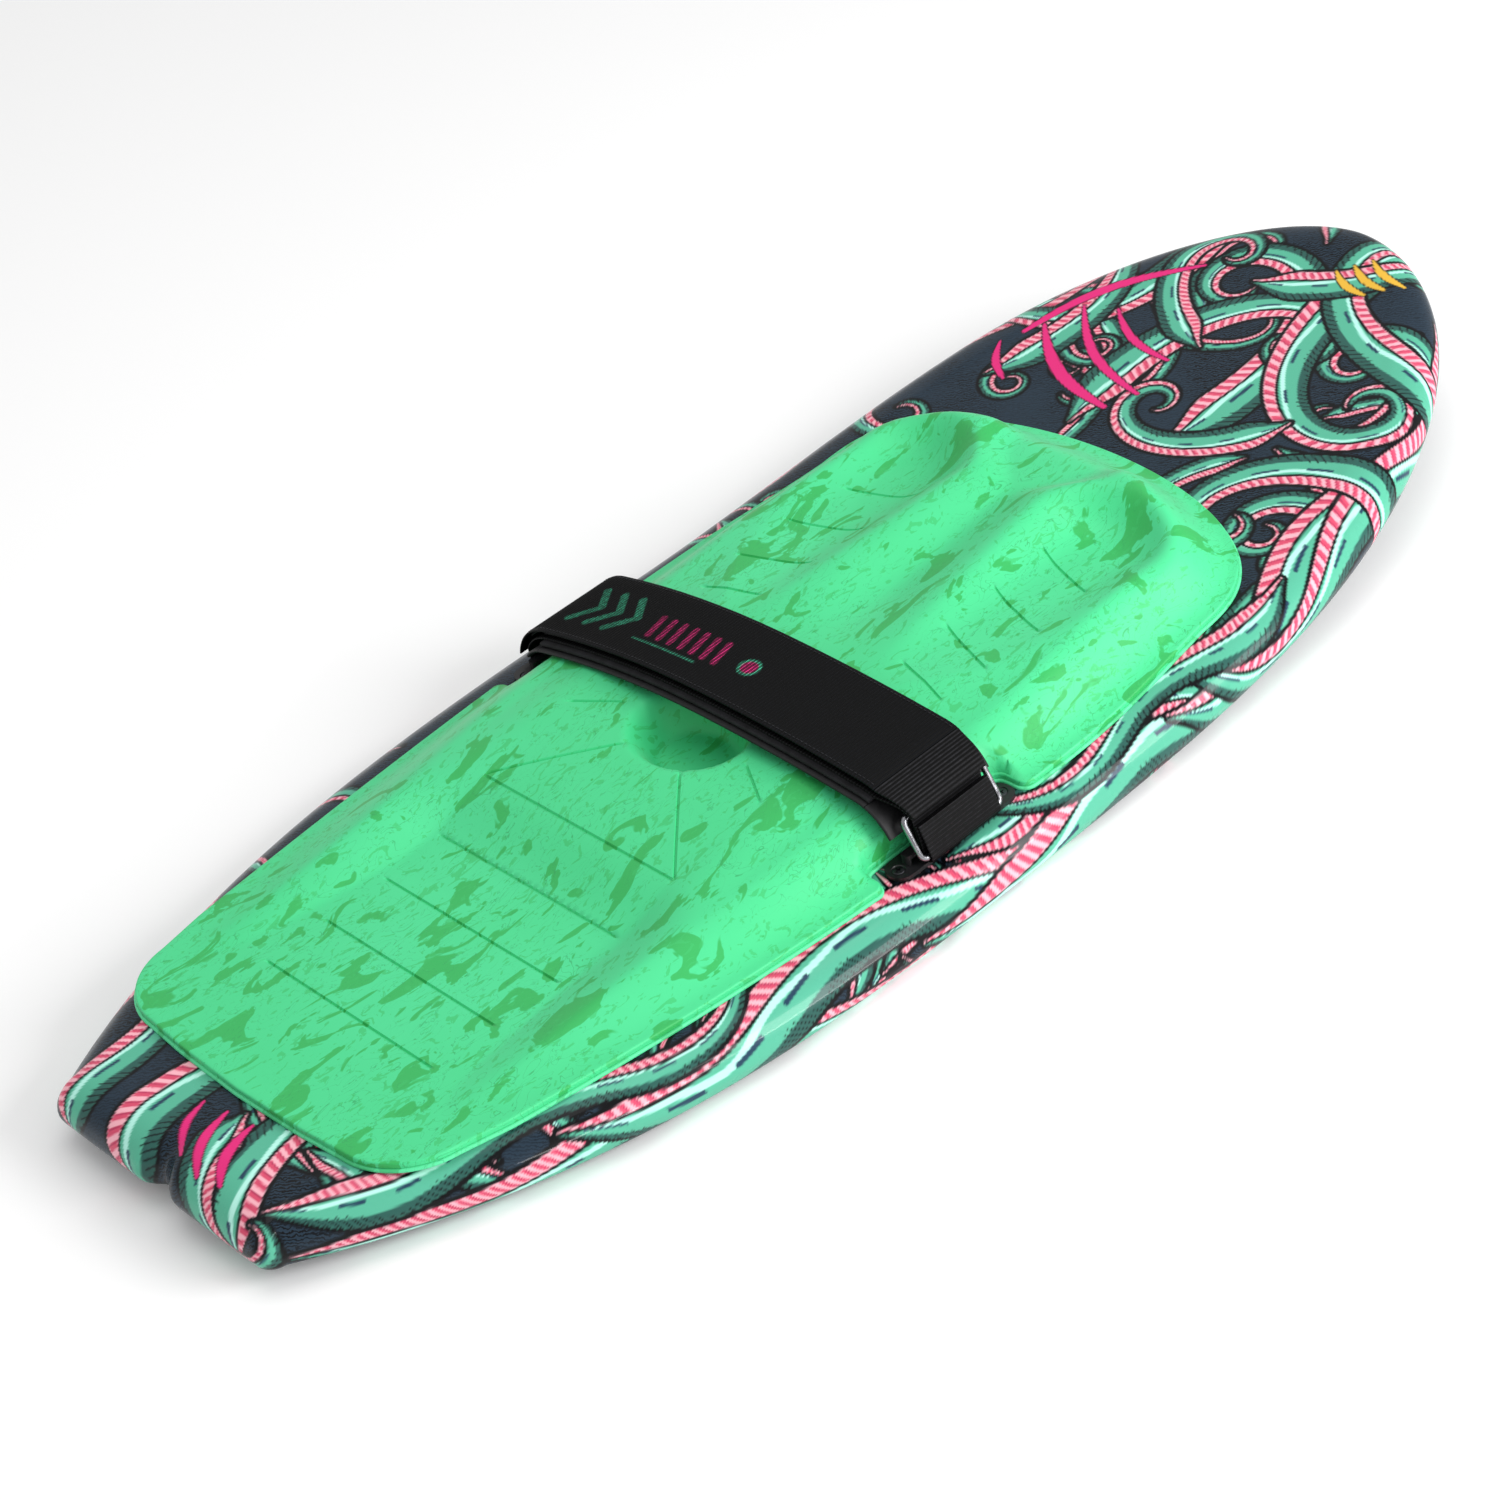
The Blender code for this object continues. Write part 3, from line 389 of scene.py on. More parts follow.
def quads(rings, around, joined=False):
    """Quads between successive rings of points, the last ring joined to the first where wanted."""
    faces = []
    for k in range(rings if joined else rings - 1):
        n = (k + 1) % rings
        for i in range(around):
            j = (i + 1) % around
            faces.append((k * around + i, k * around + j, n * around + j, n * around + i))
    return faces


def piece(name, points, faces, material, smooth_angle=35):
    """A finished object from points and faces, with outward normals."""
    mesh = bpy.data.meshes.new(name)
    mesh.from_pydata([tuple(p) for p in np.asarray(points, float)], [], faces)
    mesh.materials.append(material)
    bm = bmesh.new()
    bm.from_mesh(mesh)
    bmesh.ops.recalc_face_normals(bm, faces=bm.faces)
    bm.to_mesh(mesh)
    bm.free()
    mesh.shade_smooth()
    mesh.set_sharp_from_angle(angle=math.radians(smooth_angle))
    made = in_scene(name, mesh)
    return made


# ---------------------------------------------------------------- materials


def shader_of(material):
    return material.node_tree.nodes["Principled BSDF"]


def set_inputs(node, **values):
    """Constant values for a node's sockets, named with _ for each space."""
    for key, value in values.items():
        node.inputs[key.replace("_", " ")].default_value = value


def new_material(name, colour, roughness, metallic=0.0):
    material = bpy.data.materials.new(name)
    material.use_nodes = True
    set_inputs(shader_of(material), Base_Color=(*colour, 1.0), Roughness=roughness, Metallic=metallic)
    return material


def add_node(material, kind, **values):
    """A node with its settings, and its sockets by name."""
    node = material.node_tree.nodes.new(kind)
    for key, value in values.items():
        if hasattr(node, key):
            setattr(node, key, value)
        else:
            set_inputs(node, **{key: value})
    return node


def join(material, source, target):
    material.node_tree.links.new(source, target)


def feed(material, socket, source):
    join(material, source, shader_of(material).inputs[socket])


def attribute(material, name, output="Fac"):
    return add_node(material, "ShaderNodeAttribute", attribute_name=name).outputs[output]


def stretched(material, scale=(1.0, 1.0, 1.0)):
    """The piece's own coordinates, stretched."""
    place = add_node(material, "ShaderNodeTexCoord")
    mapping = add_node(material, "ShaderNodeMapping", Scale=scale)
    join(material, place.outputs["Object"], mapping.inputs["Vector"])
    return mapping.outputs["Vector"]


def ramp(material, source, stops):
    """A colour ramp of (position, (r, g, b)) stops."""
    node = add_node(material, "ShaderNodeValToRGB")
    elements = node.color_ramp.elements
    while len(elements) < len(stops):
        elements.new(1.0)
    for element, (position, colour) in zip(elements, stops):
        element.position = position
        element.color = (*colour, 1.0)
    join(material, source, node.inputs["Fac"])
    return node.outputs["Color"]


def grey(value):
    return (value, value, value)


def levels(material, source, *stops):
    """A ramp of (position, grey value) stops."""
    return ramp(material, source, [(position, grey(value)) for position, value in stops])


def cloudy(material, source, colour, darker, paler, low=0.3, high=0.7):
    """A colour that varies between two strengths of itself."""
    return ramp(material, source, ((low, scaled(colour, darker)), (high, scaled(colour, paler))))


def scaled(colour, share):
    return tuple(c * share for c in colour)


def mixed(material, factor, first, second, how="MIX"):
    node = add_node(material, "ShaderNodeMix", data_type="RGBA", blend_type=how)
    for socket, value in (("Factor", factor), ("A", first), ("B", second)):
        found = [s for s in node.inputs if s.name == socket and s.enabled][0]
        if isinstance(value, bpy.types.NodeSocket):
            join(material, value, found)
        elif isinstance(value, (int, float)):
            found.default_value = value
        else:
            found.default_value = (*value, 1.0)
    return [s for s in node.outputs if s.enabled][0]


def noise(material, vector, scale, detail=4.0, distortion=0.0, roughness=0.5):
    node = add_node(material, "ShaderNodeTexNoise", Scale=scale, Detail=detail, Distortion=distortion)
    set_inputs(node, Roughness=roughness)
    join(material, vector, node.inputs["Vector"])
    return node.outputs["Fac"]


def bumped(material, height, distance, strength=1.0):
    node = add_node(material, "ShaderNodeBump", Strength=strength, Distance=distance)
    join(material, height, node.inputs["Height"])
    feed(material, "Normal", node.outputs["Normal"])


def srgb(r, g, b):
    """Linear colour from 0 to 255 display values."""
    return tuple(((c / 255 + 0.055) / 1.055) ** 2.4 if c > 10 else c / 255 / 12.92 for c in (r, g, b))


def shifted(colour, *steps):
    """Linear colour of display values with a step added to each."""
    return srgb(*(c + step for c, step in zip(colour, steps)))


def print_material():
    """Glossy printed skin: the painted colours, with fine engraved hatching on the bare ground."""
    material = new_material("printed_skin", srgb(44, 62, 76), 0.20)
    set_inputs(shader_of(material), Coat_Weight=0.20, Specular_IOR_Level=0.12, Coat_Roughness=0.05)
    place = stretched(material)
    wave = add_node(material, "ShaderNodeTexWave", bands_direction="DIAGONAL", Scale=150.0, Distortion=9.0)
    set_inputs(wave, Detail=3.0, Detail_Scale=1.4)
    join(material, place, wave.inputs["Vector"])
    hatch = levels(material, wave.outputs["Fac"], (0.0, 1.0), (0.36, 0.85), (0.52, 0.0))
    patches = levels(material, noise(material, place, 14.0), (0.38, 0.35), (0.58, 1.0))
    strength = mixed(material, 1.0, hatch, patches, "MULTIPLY")
    strength = mixed(material, 1.0, strength, attribute(material, "ground", "Color"), "MULTIPLY")
    coloured = mixed(material, strength, attribute(material, "print", "Color"), srgb(3, 4, 7))
    feed(material, "Base Color", coloured)
    scuffs = noise(material, place, 55.0, 6.0)
    feed(material, "Roughness", levels(material, scuffs, (0.35, 0.24), (0.75, 0.38)))
    bumped(material, noise(material, place, 420.0, 2.0), 0.00002, 0.5)
    return material


def base_material():
    """Dark moulded plastic with a fine pebble and long light scratches."""
    material = new_material("moulded_base", srgb(30, 40, 50), 0.34)
    place = stretched(material)
    scratches = noise(material, stretched(material, (4.0, 160.0, 160.0)), 2.2, 6.0)
    tone = ramp(material, scratches, ((0.35, srgb(24, 32, 41)), (0.72, srgb(42, 54, 66))))
    feed(material, "Base Color", tone)
    feed(material, "Roughness", levels(material, noise(material, place, 30.0, 6.0), (0.3, 0.26), (0.8, 0.46)))
    bumped(material, noise(material, place, 900.0, 2.0), 0.00004, 0.6)
    return material


def pad_material(name="marbled_foam", light=(58, 204, 130), dark=(36, 172, 84)):
    """Marbled closed-cell foam: broad torn patches, finer streaks and hairline veins."""
    material = new_material(name, srgb(*light), 0.52)
    place = stretched(material)
    turned = (0.0, 0.0, math.radians(-28))
    slant = add_node(material, "ShaderNodeMapping", Scale=(1.0, 2.3, 1.0), Rotation=turned)
    join(material, place, slant.inputs["Vector"])
    slanted = slant.outputs["Vector"]
    patches = noise(material, slanted, 17.0, 3.0, 1.1, 0.5)
    patch_mask = levels(material, patches, (0.580, 0.0), (0.594, 1.0))
    streaks = noise(material, slanted, 52.0, 3.0, 1.8, 0.55)
    streak_mask = levels(material, streaks, (0.594, 0.0), (0.612, 0.65))
    veins = noise(material, slanted, 27.0, 2.0, 2.4, 0.5)
    vein_mask = levels(material, veins, (0.489, 0.0), (0.497, 0.9), (0.505, 0.0))
    gate = levels(material, noise(material, place, 9.0), (0.42, 0.0), (0.52, 1.0))
    vein_mask = mixed(material, 1.0, vein_mask, gate, "MULTIPLY")
    tone = ramp(material, noise(material, place, 6.0), ((0.3, srgb(*light)), (0.7, shifted(light, 8, 5, 10))))
    tone = mixed(material, patch_mask, tone, srgb(*dark))
    tone = mixed(material, streak_mask, tone, shifted(dark, 8, 8, 10))
    tone = mixed(material, vein_mask, tone, shifted(dark, -10, -22, -4))
    feed(material, "Base Color", tone)
    bumped(material, noise(material, place, 1500.0, 3.0), 0.00006, 0.55)
    set_inputs(shader_of(material), Sheen_Weight=0.08)
    return material


def woven_material(name, colour, pitch, roughness, coloured=False):
    """Black webbing: the run and span attributes give the threads along and across it, and its colour has
    painted shade in the rib grooves and a painted highlight on the rib tops.
    """
    material = new_material(name, colour, roughness)
    set_inputs(shader_of(material), Specular_IOR_Level=0.14)
    heights = []
    for direction, step in (("run", pitch), ("span", pitch * 0.45)):
        turn = add_node(material, "ShaderNodeMath", operation="MULTIPLY")
        turn.inputs[1].default_value = 2 * math.pi / step
        join(material, attribute(material, direction), turn.inputs[0])
        wave = add_node(material, "ShaderNodeMath", operation="SINE")
        join(material, turn.outputs[0], wave.inputs[0])
        heights.append(wave.outputs[0])
    weave = add_node(material, "ShaderNodeMath", operation="MULTIPLY")
    join(material, heights[0], weave.inputs[0])
    join(material, heights[1], weave.inputs[1])
    bumped(material, weave.outputs[0], 0.00012, 0.7)
    lint_and_rib_shading = levels(material, noise(material, stretched(material), 240.0, 5.0), (0.35, 0.55), (0.75, 1.6))
    # Painted shade and highlight: the colour is darkened between the ribs and brightened on their tops, then
    # multiplied with the random lint.
    rib_shade_and_highlight = levels(material, heights[0], (0.0, 0.15), (0.50, 0.6), (1.0, 3.0))
    lint_and_rib_shading = mixed(material, 1.0, lint_and_rib_shading, rib_shade_and_highlight, "MULTIPLY")
    dye = attribute(material, "print", "Color") if coloured else colour
    feed(material, "Base Color", mixed(material, 1.0, dye, lint_and_rib_shading, "MULTIPLY"))
    return material


def soft_material(name, colour, roughness, scale, depth):
    """Knitted lining or tape, with a pile."""
    material = new_material(name, colour, roughness)
    place = stretched(material)
    feed(material, "Base Color", cloudy(material, noise(material, place, scale * 0.2, 5.0), colour, 0.6, 1.5))
    set_inputs(shader_of(material), Specular_IOR_Level=0.35)
    bumped(material, noise(material, place, scale, 3.0), depth, 0.7)
    return material


def metal_material(name, colour, low, high):
    """Drawn wire or machined metal with fine scratches and duller worn patches."""
    material = new_material(name, colour, low, 1.0)
    wear = noise(material, stretched(material), 160.0, 5.0)
    feed(material, "Roughness", levels(material, wear, (0.35, low), (0.7, high)))
    feed(material, "Base Color", cloudy(material, wear, colour, 0.72, 1.0, high=0.65))
    bumped(material, noise(material, stretched(material, (60.0, 900.0, 900.0)), 1.0, 4.0), 0.00002, 0.5)
    return material


def plastic_material(name, colour, roughness):
    material = new_material(name, colour, roughness)
    place = stretched(material)
    handled = noise(material, place, 120.0, 5.0)
    feed(material, "Roughness", levels(material, handled, (0.3, roughness - 0.08), (0.75, roughness + 0.14)))
    feed(material, "Base Color", cloudy(material, noise(material, place, 60.0, 4.0), colour, 0.75, 1.4))
    bumped(material, noise(material, place, 1400.0, 2.0), 0.00005, 0.6)
    return material


# ---------------------------------------------------------------- the printed graphic

SLATE = (34, 50, 64)
BLACK = (4, 5, 8)
TEAL = (86, 176, 146)
SHADE = (44, 90, 82)
AQUA = (186, 244, 230)
BLUSH = (246, 178, 190)
ROSE = (214, 78, 108)
DEEP_ROSE = (176, 52, 88)
NAVY = (34, 62, 84)
MAGENTA = (222, 40, 120)
GOLD = (226, 178, 60)
MINT = (72, 190, 150)
STRAP_MAGENTA = (206, 44, 118)
SOFT_EDGE = 0.0011
OUTLINE = 0.0034
BROADER = 1.3
PATH_STEP = 0.0035
# A ribbon's markings, as shares of its half-width unless they are in metres
SHADE_FROM = 0.58
GLEAM_AT = 0.22
GLEAM_HALF_WIDTH = 0.11
BORDER_FROM = 0.46
HATCH_PITCH = 0.0062
HATCH_HALF_WIDTH = 0.0006
BAR_PITCH = 0.42
BAR_LEAN = 0.55
DASH_PITCH = 2.2
DASH_HALF_WIDTH = 0.075
GRAPHIC_SEED = 20
SMALL_CURLS = 58
# A rail ribbon's last curl: length in half-widths, bend and tightening in 1/m
RAIL_CURL = (11, 8, 70)
THINNEST = 0.0012


def new_canvas(points):
    order = np.argsort(points[:, 0], kind="stable")
    count = len(points)
    return {
        "order": order, "at": points[order], "colour": np.tile(np.array(SLATE, float), (count, 1)),
        "ground": np.ones(count),
    }


def nearby(canvas, low, high):
    first, last = np.searchsorted(canvas["at"][:, 0], (low[0], high[0]))
    y = canvas["at"][first:last, 1]
    return np.nonzero((y >= low[1]) & (y <= high[1]))[0] + first


def lay(canvas, index, cover, colour):
    canvas["colour"][index] += cover[:, None] * (np.array(colour, float) - canvas["colour"][index])
    canvas["ground"][index] *= 1 - cover


def within(distance):
    """1 inside a shape, 0 outside, with a soft printed edge."""
    return smooth(0.5 - distance / SOFT_EDGE)


def disc(canvas, centre, radius, colour):
    reach = radius + SOFT_EDGE
    index = nearby(canvas, centre - reach, centre + reach)
    from_centre = np.linalg.norm(canvas["at"][index] - centre, axis=1)
    lay(canvas, index, within(from_centre - radius), colour)


def measure(canvas, path, widths):
    """For points near a tapering path: index, distance along it, side offset and its half-width there."""
    count = len(canvas["at"])
    nearest, run, side, half = np.full(count, 1.0), np.zeros(count), np.zeros(count), np.full(count, 1e-9)
    start = 0.0
    for k in range(len(path) - 1):
        a, step = path[k], path[k + 1] - path[k]
        length = np.linalg.norm(step)
        reach = max(widths[k], widths[k + 1]) + OUTLINE + SOFT_EDGE
        index = nearby(canvas, np.minimum(a, path[k + 1]) - reach, np.maximum(a, path[k + 1]) + reach)
        offset = canvas["at"][index] - a
        t = np.clip(offset @ step / length ** 2, 0, 1)
        gap = np.linalg.norm(offset - t[:, None] * step, axis=1)
        closer = gap < nearest[index]
        kept = index[closer]
        cross = step[0] * offset[closer, 1] - step[1] * offset[closer, 0]
        nearest[kept], side[kept] = gap[closer], np.sign(cross) * gap[closer]
        run[kept] = start + t[closer] * length
        half[kept] = widths[k] + (widths[k + 1] - widths[k]) * t[closer]
        start += length
    index = np.nonzero(nearest < half + OUTLINE + SOFT_EDGE)[0]
    return index, run[index], side[index], half[index]


def curl(start, heading, length, width, bend, tightening):
    """A scroll: a path that bends evenly and then winds in as it tapers, with its half-widths."""
    share = np.linspace(0, 1, int(length / PATH_STEP))
    turning = bend + tightening * share ** 3
    angle = heading + np.concatenate([[0], np.cumsum(turning[1:] * PATH_STEP)])
    steps = np.column_stack([np.cumsum(np.cos(angle)), np.cumsum(np.sin(angle))])
    return np.array(start, float) + steps * PATH_STEP, tapered(width, share)


def tapered(width, share):
    """Half-widths that swell quickly from a pointed start and thin out to the curled end."""
    return width * (1 - share) ** 0.62 * smooth(0.12 + share / 0.16) + THINNEST


def rail_wave(start, end, side, middle, swing, waves, width, curl_in):
    """A ribbon that rolls along a rail between two x stations, then winds in."""
    x = np.linspace(start, end, int(abs(end - start) / PATH_STEP))
    share = np.linspace(0, 1, len(x))
    y = board_half_width(np.clip(along(x), 0, 0.985)) + middle + swing * np.sin(2 * math.pi * waves * share)
    body = np.column_stack([x, side * y])
    way = body[-1] - body[-4]
    heading = math.atan2(way[1], way[0])
    length, bend, tightening = RAIL_CURL
    last, _ = curl(body[-1], heading, width * length, width, curl_in * bend, curl_in * tightening)
    path = resampled(np.vstack([body, last[1:]]), PATH_STEP)
    return path, tapered(width, np.linspace(0, 1, len(path)))


def ribbon(canvas, path, widths, dice, border_side=1):
    """A scroll ribbon: dark outline, shaded body, pale gleam, navy dashes and a striped border."""
    index, run, side, half = measure(canvas, path, widths)
    if not len(index):
        return
    side = side * border_side
    body = np.abs(side) - half

    def cover(colour, *distances, strength=1.0):
        """One ink wherever all the shapes overlap."""
        lay(canvas, index, within(np.maximum.reduce(distances)) * strength, colour)

    cover(BLACK, body - OUTLINE)
    cover(TEAL, body)
    cover(SHADE, body, side + half * SHADE_FROM)
    wavy = half * (0.05 + 0.10 * np.sin(run * 60))
    gleam = np.abs(side - half * GLEAM_AT + wavy) - half * GLEAM_HALF_WIDTH
    cover(AQUA, body, gleam, strength=0.95)
    lines = np.abs(((run + side * 0.8) % HATCH_PITCH) - HATCH_PITCH / 2) - HATCH_HALF_WIDTH
    cover(BLACK, body, side + half * (0.66 + 0.2 * np.sin(run * 95)), lines, strength=0.9)
    border = np.maximum(body, half * BORDER_FROM - side)
    cover(BLACK, border - OUTLINE * 0.7)
    cover(BLUSH, border)
    pitch = BAR_PITCH * widths.max()
    place = (run + side * BAR_LEAN) % pitch
    cover(ROSE, border + OUTLINE * 0.2, np.abs(place - pitch / 2) - pitch * 0.27)
    cover(DEEP_ROSE, border + OUTLINE * 0.2, np.abs(place - pitch * 0.66) - pitch * 0.06)
    long_pitch = DASH_PITCH * widths.max()
    dashes = np.abs((run % long_pitch) - long_pitch / 2) - long_pitch * dice.uniform(0.16, 0.26)
    cover(NAVY, dashes, np.abs(side + half * 0.02) - half * DASH_HALF_WIDTH)


def slash(canvas, start, end, width, colour):
    """A tapering brush stroke."""
    share = np.linspace(0, 1, 24)
    start, end = np.array(start, float), np.array(end, float)
    bow = np.array([-(end - start)[1], (end - start)[0]]) * 0.10
    path = start + (end - start) * share[:, None] + bow * np.sin(math.pi * share)[:, None]
    widths = width * (0.25 + 0.75 * np.sin(math.pi * np.clip(share * 0.9 + 0.08, 0, 1)))
    index, _, side, half = measure(canvas, path, widths)
    lay(canvas, index, within(np.abs(side) - half - 0.0008), BLACK)
    lay(canvas, index, within(np.abs(side) - half), colour)


# Broad scrolls: start x, y, heading in degrees, length, half-width, bend and tightening in 1/m, border side
SCROLLS = (
    (0.36, -0.030, -20, 0.42, 0.019, 3.0, 52, 1), (0.345, 0.060, 10, 0.40, 0.017, -3.4, -56, -1),
    (0.68, -0.060, 165, 0.46, 0.019, 2.4, 52, -1), (0.66, 0.130, 200, 0.40, 0.016, -3.2, -58, 1),
    (0.52, -0.235, 95, 0.40, 0.018, -3.0, -54, -1), (0.40, -0.280, 80, 0.34, 0.016, 4.0, 60, 1),
    (0.36, 0.170, -30, 0.34, 0.014, 4.2, 64, 1), (0.47, 0.020, 70, 0.26, 0.012, -5.4, -74, -1),
    (0.56, 0.040, -80, 0.30, 0.014, 5.0, 70, 1), (0.43, -0.110, 150, 0.26, 0.012, -6.0, -80, 1),
    (-0.70, 0.020, 20, 0.30, 0.020, -3.0, -54, 1), (-0.69, -0.110, 40, 0.28, 0.019, -3.6, -60, -1),
    (-0.585, -0.020, 190, 0.22, 0.014, 4.8, 72, 1), (-0.69, 0.110, -15, 0.26, 0.016, 3.4, 64, 1),
)
# Ribbons along the rails: from x, to x, side, offset from the widest line, swing, waves, half-width, curl
RAIL_WAVES = (
    (-0.66, -0.20, -1, 0.020, 0.014, 1.2, 0.017, 1), (-0.46, -0.02, -1, -0.006, 0.020, 1.3, 0.022, 1),
    (-0.64, -0.40, -1, -0.022, 0.012, 1.0, 0.014, 1), (-0.16, 0.24, -1, 0.012, 0.018, 1.2, 0.023, 1),
    (-0.10, 0.10, -1, -0.030, 0.006, 1.0, 0.013, -1), (0.12, 0.46, -1, -0.008, 0.022, 1.2, 0.021, 1),
    (0.60, 0.30, -1, 0.010, 0.020, 1.0, 0.020, -1), (0.28, 0.06, -1, -0.026, 0.010, 1.1, 0.013, -1),
    (-0.66, -0.44, 1, 0.004, 0.014, 1.1, 0.016, -1), (-0.24, 0.04, 1, 0.014, 0.010, 1.2, 0.012, -1),
    (0.34, 0.10, 1, 0.012, 0.012, 1.1, 0.013, 1), (0.62, 0.40, 1, 0.004, 0.018, 1.0, 0.018, 1),
)


# Magenta brush strokes: from x, y to x, y, and half-width
STROKES = (
    (0.375, 0.045, 0.435, 0.165, 0.0055), (0.400, 0.030, 0.470, 0.150, 0.0042),
    (0.445, 0.035, 0.480, 0.120, 0.0036), (0.420, 0.175, 0.560, 0.090, 0.0050),
    (0.365, 0.150, 0.400, 0.185, 0.0036), (-0.642, -0.062, -0.592, -0.034, 0.0044),
    (-0.646, -0.040, -0.594, -0.008, 0.0040), (-0.640, -0.014, -0.598, 0.014, 0.0032),
)


def paint_graphic(canvas):
    """A seeded pattern of scrolls and strokes, in the board's colours."""
    dice = np.random.default_rng(GRAPHIC_SEED)
    for _ in range(SMALL_CURLS):
        x = dice.uniform(-0.64, 0.64)
        if -0.55 < x < 0.26:
            side = -1 if dice.random() < 0.74 else 1
            y = side * (board_half_width(np.array(along(x))) + dice.uniform(-0.05, 0.05))
        else:
            y = dice.uniform(-0.9, 0.75) * board_half_width(np.array(along(x)))
        sign = -1 if dice.random() < 0.5 else 1
        path, widths = curl(
            (x, float(y)), dice.uniform(0, 2 * math.pi), dice.uniform(0.14, 0.26), dice.uniform(0.006, 0.011),
            sign * dice.uniform(3, 9), sign * dice.uniform(60, 110),
        )
        ribbon(canvas, path, widths, dice, sign)
    for start, end, side, middle, swing, waves, width, curl_in in RAIL_WAVES:
        path, widths = rail_wave(start, end, side, middle, swing, waves, width * BROADER, curl_in)
        ribbon(canvas, path, widths, dice, curl_in)
    for x, y, heading, length, width, bend, tightening, border_side in SCROLLS:
        path, widths = curl((x, y), math.radians(heading), length, width * BROADER, bend, tightening)
        ribbon(canvas, path, widths, dice, border_side)
    for x0, y0, x1, y1, width in STROKES:
        slash(canvas, (x0, y0), (x1, y1), width, MAGENTA)
    for k in range(3):
        x = 0.585 + 0.012 * k
        slash(canvas, (x, -0.060 - 0.012 * k), (x + 0.015, -0.020 - 0.010 * k), 0.0036, GOLD)


def linear(colour):
    c = np.clip(colour / 255, 0, 1)
    return np.where(c > 0.04045, ((c + 0.055) / 1.055) ** 2.4, c / 12.92)


def painted(canvas):
    """Each point's linear colour, and 1 where nothing is printed on it, in the order they came."""
    count = len(canvas["at"])
    colour, ground = np.ones((count, 4)), np.empty(count)
    colour[canvas["order"], :3] = linear(canvas["colour"])
    ground[canvas["order"]] = canvas["ground"]
    return colour, ground


def set_attribute(mesh, name, values):
    """A number or a colour for each of a mesh's points."""
    kind, field = ("FLOAT_COLOR", "color") if values.ndim == 2 else ("FLOAT", "value")
    made = mesh.attributes.new(name, kind, "POINT")
    made.data.foreach_set(field, np.ascontiguousarray(values, np.float32).ravel())


# ---------------------------------------------------------------- board

FINE = 0.0015
COARSE = 0.020
# The printed deck's fine grid stops under the pad, at a share of the pad's plan; the coarse one fills it
UNDER_PAD = 0.955
COARSE_SHARE = 0.95
RAIL_STEP_BELOW = 0.004
BOTTOM_ROOM = 0.008


def rail_section(profile, step):
    """(inset, share, distance along it) rows, evenly spaced on a smooth curve through the profile."""
    steps = np.array(profile, float)
    lengths = np.hypot(np.diff(steps[:, 0]), np.diff(steps[:, 1]) * RAIL_HEIGHT)
    run = np.concatenate([[0], np.cumsum(lengths)])
    places = np.linspace(0, run[-1], int(round(run[-1] / step)) + 1)
    inset = through(places, list(zip(run, steps[:, 0])))
    share = through(places, list(zip(run, steps[:, 1])))
    return np.column_stack([np.maximum(inset, 0), share, places])


def swept(outline, section, first_distance):
    """Rail points and faces, and each point's place on the flat print."""
    points, art = [], []
    for inset, share, run in section:
        ring = shrunk(outline, inset)
        points.append(np.column_stack([ring, rocker(ring[:, 0]) + share * rail_height(ring[:, 0])]))
        art.append(shrunk(outline, RAIL_ABOVE[0][0] - first_distance - run))
    return np.vstack(points), quads(len(section), len(outline)), np.vstack(art)


def pad_cap_half_width(x):
    start, width = PAD_SIDES[-1]
    share = np.clip((x - start) / (PAD_FRONT - start), 0, 1)
    return width * np.sqrt(np.clip(1 - share ** PAD_CAP_POWER, 0, 1))


def pad_outline(notched, step):
    """The pad's plan, from the middle of its rear edge round +Y to the front, and back."""
    side = [(PAD_REAR - PAD_REAR_BULGE, 0.0), (PAD_REAR - PAD_REAR_BULGE * 0.6, 0.070)]
    corner_y = PAD_SIDES[0][1] + 0.006 - PAD_CORNER
    for angle in np.radians(np.linspace(0, 84, 16)):
        side.append((PAD_REAR + PAD_CORNER * (1 - math.cos(angle)), corner_y + PAD_CORNER * math.sin(angle)))
    low, high = STRAP_NOTCH
    r, wall = STRAP_NOTCH_CORNER, STRAP_NOTCH_WALL
    quarter = np.radians(np.linspace(0, 90, 7))

    def edge(x):
        return float(through(np.array(x), PAD_SIDES))

    side += [(x, edge(x)) for x in np.linspace(-0.48, low - r - 0.004 if notched else low, 40)]
    if notched:
        side += [(low - r + r * math.sin(a), edge(low) - r + r * math.cos(a)) for a in quarter]
        side += [(low + r - r * math.cos(a), wall + r - r * math.sin(a)) for a in quarter]
        side += [(high - r + r * math.sin(a), wall + r - r * math.cos(a)) for a in quarter]
        side += [(high + r - r * math.cos(a), edge(high) - r + r * math.sin(a)) for a in quarter]
    start = PAD_SIDES[-1][0]
    side += [(x, edge(x)) for x in np.linspace(high + r + 0.004 if notched else low + 0.01, start, 40)]
    xs = start + (PAD_FRONT - start) * np.sin(np.radians(np.linspace(0, 90, 120)))[1:]
    side += [(x, y) for x, y in zip(xs, pad_cap_half_width(xs))]
    side[-1] = (PAD_FRONT, 0.0)
    return mirrored(resampled(np.array(side), step))


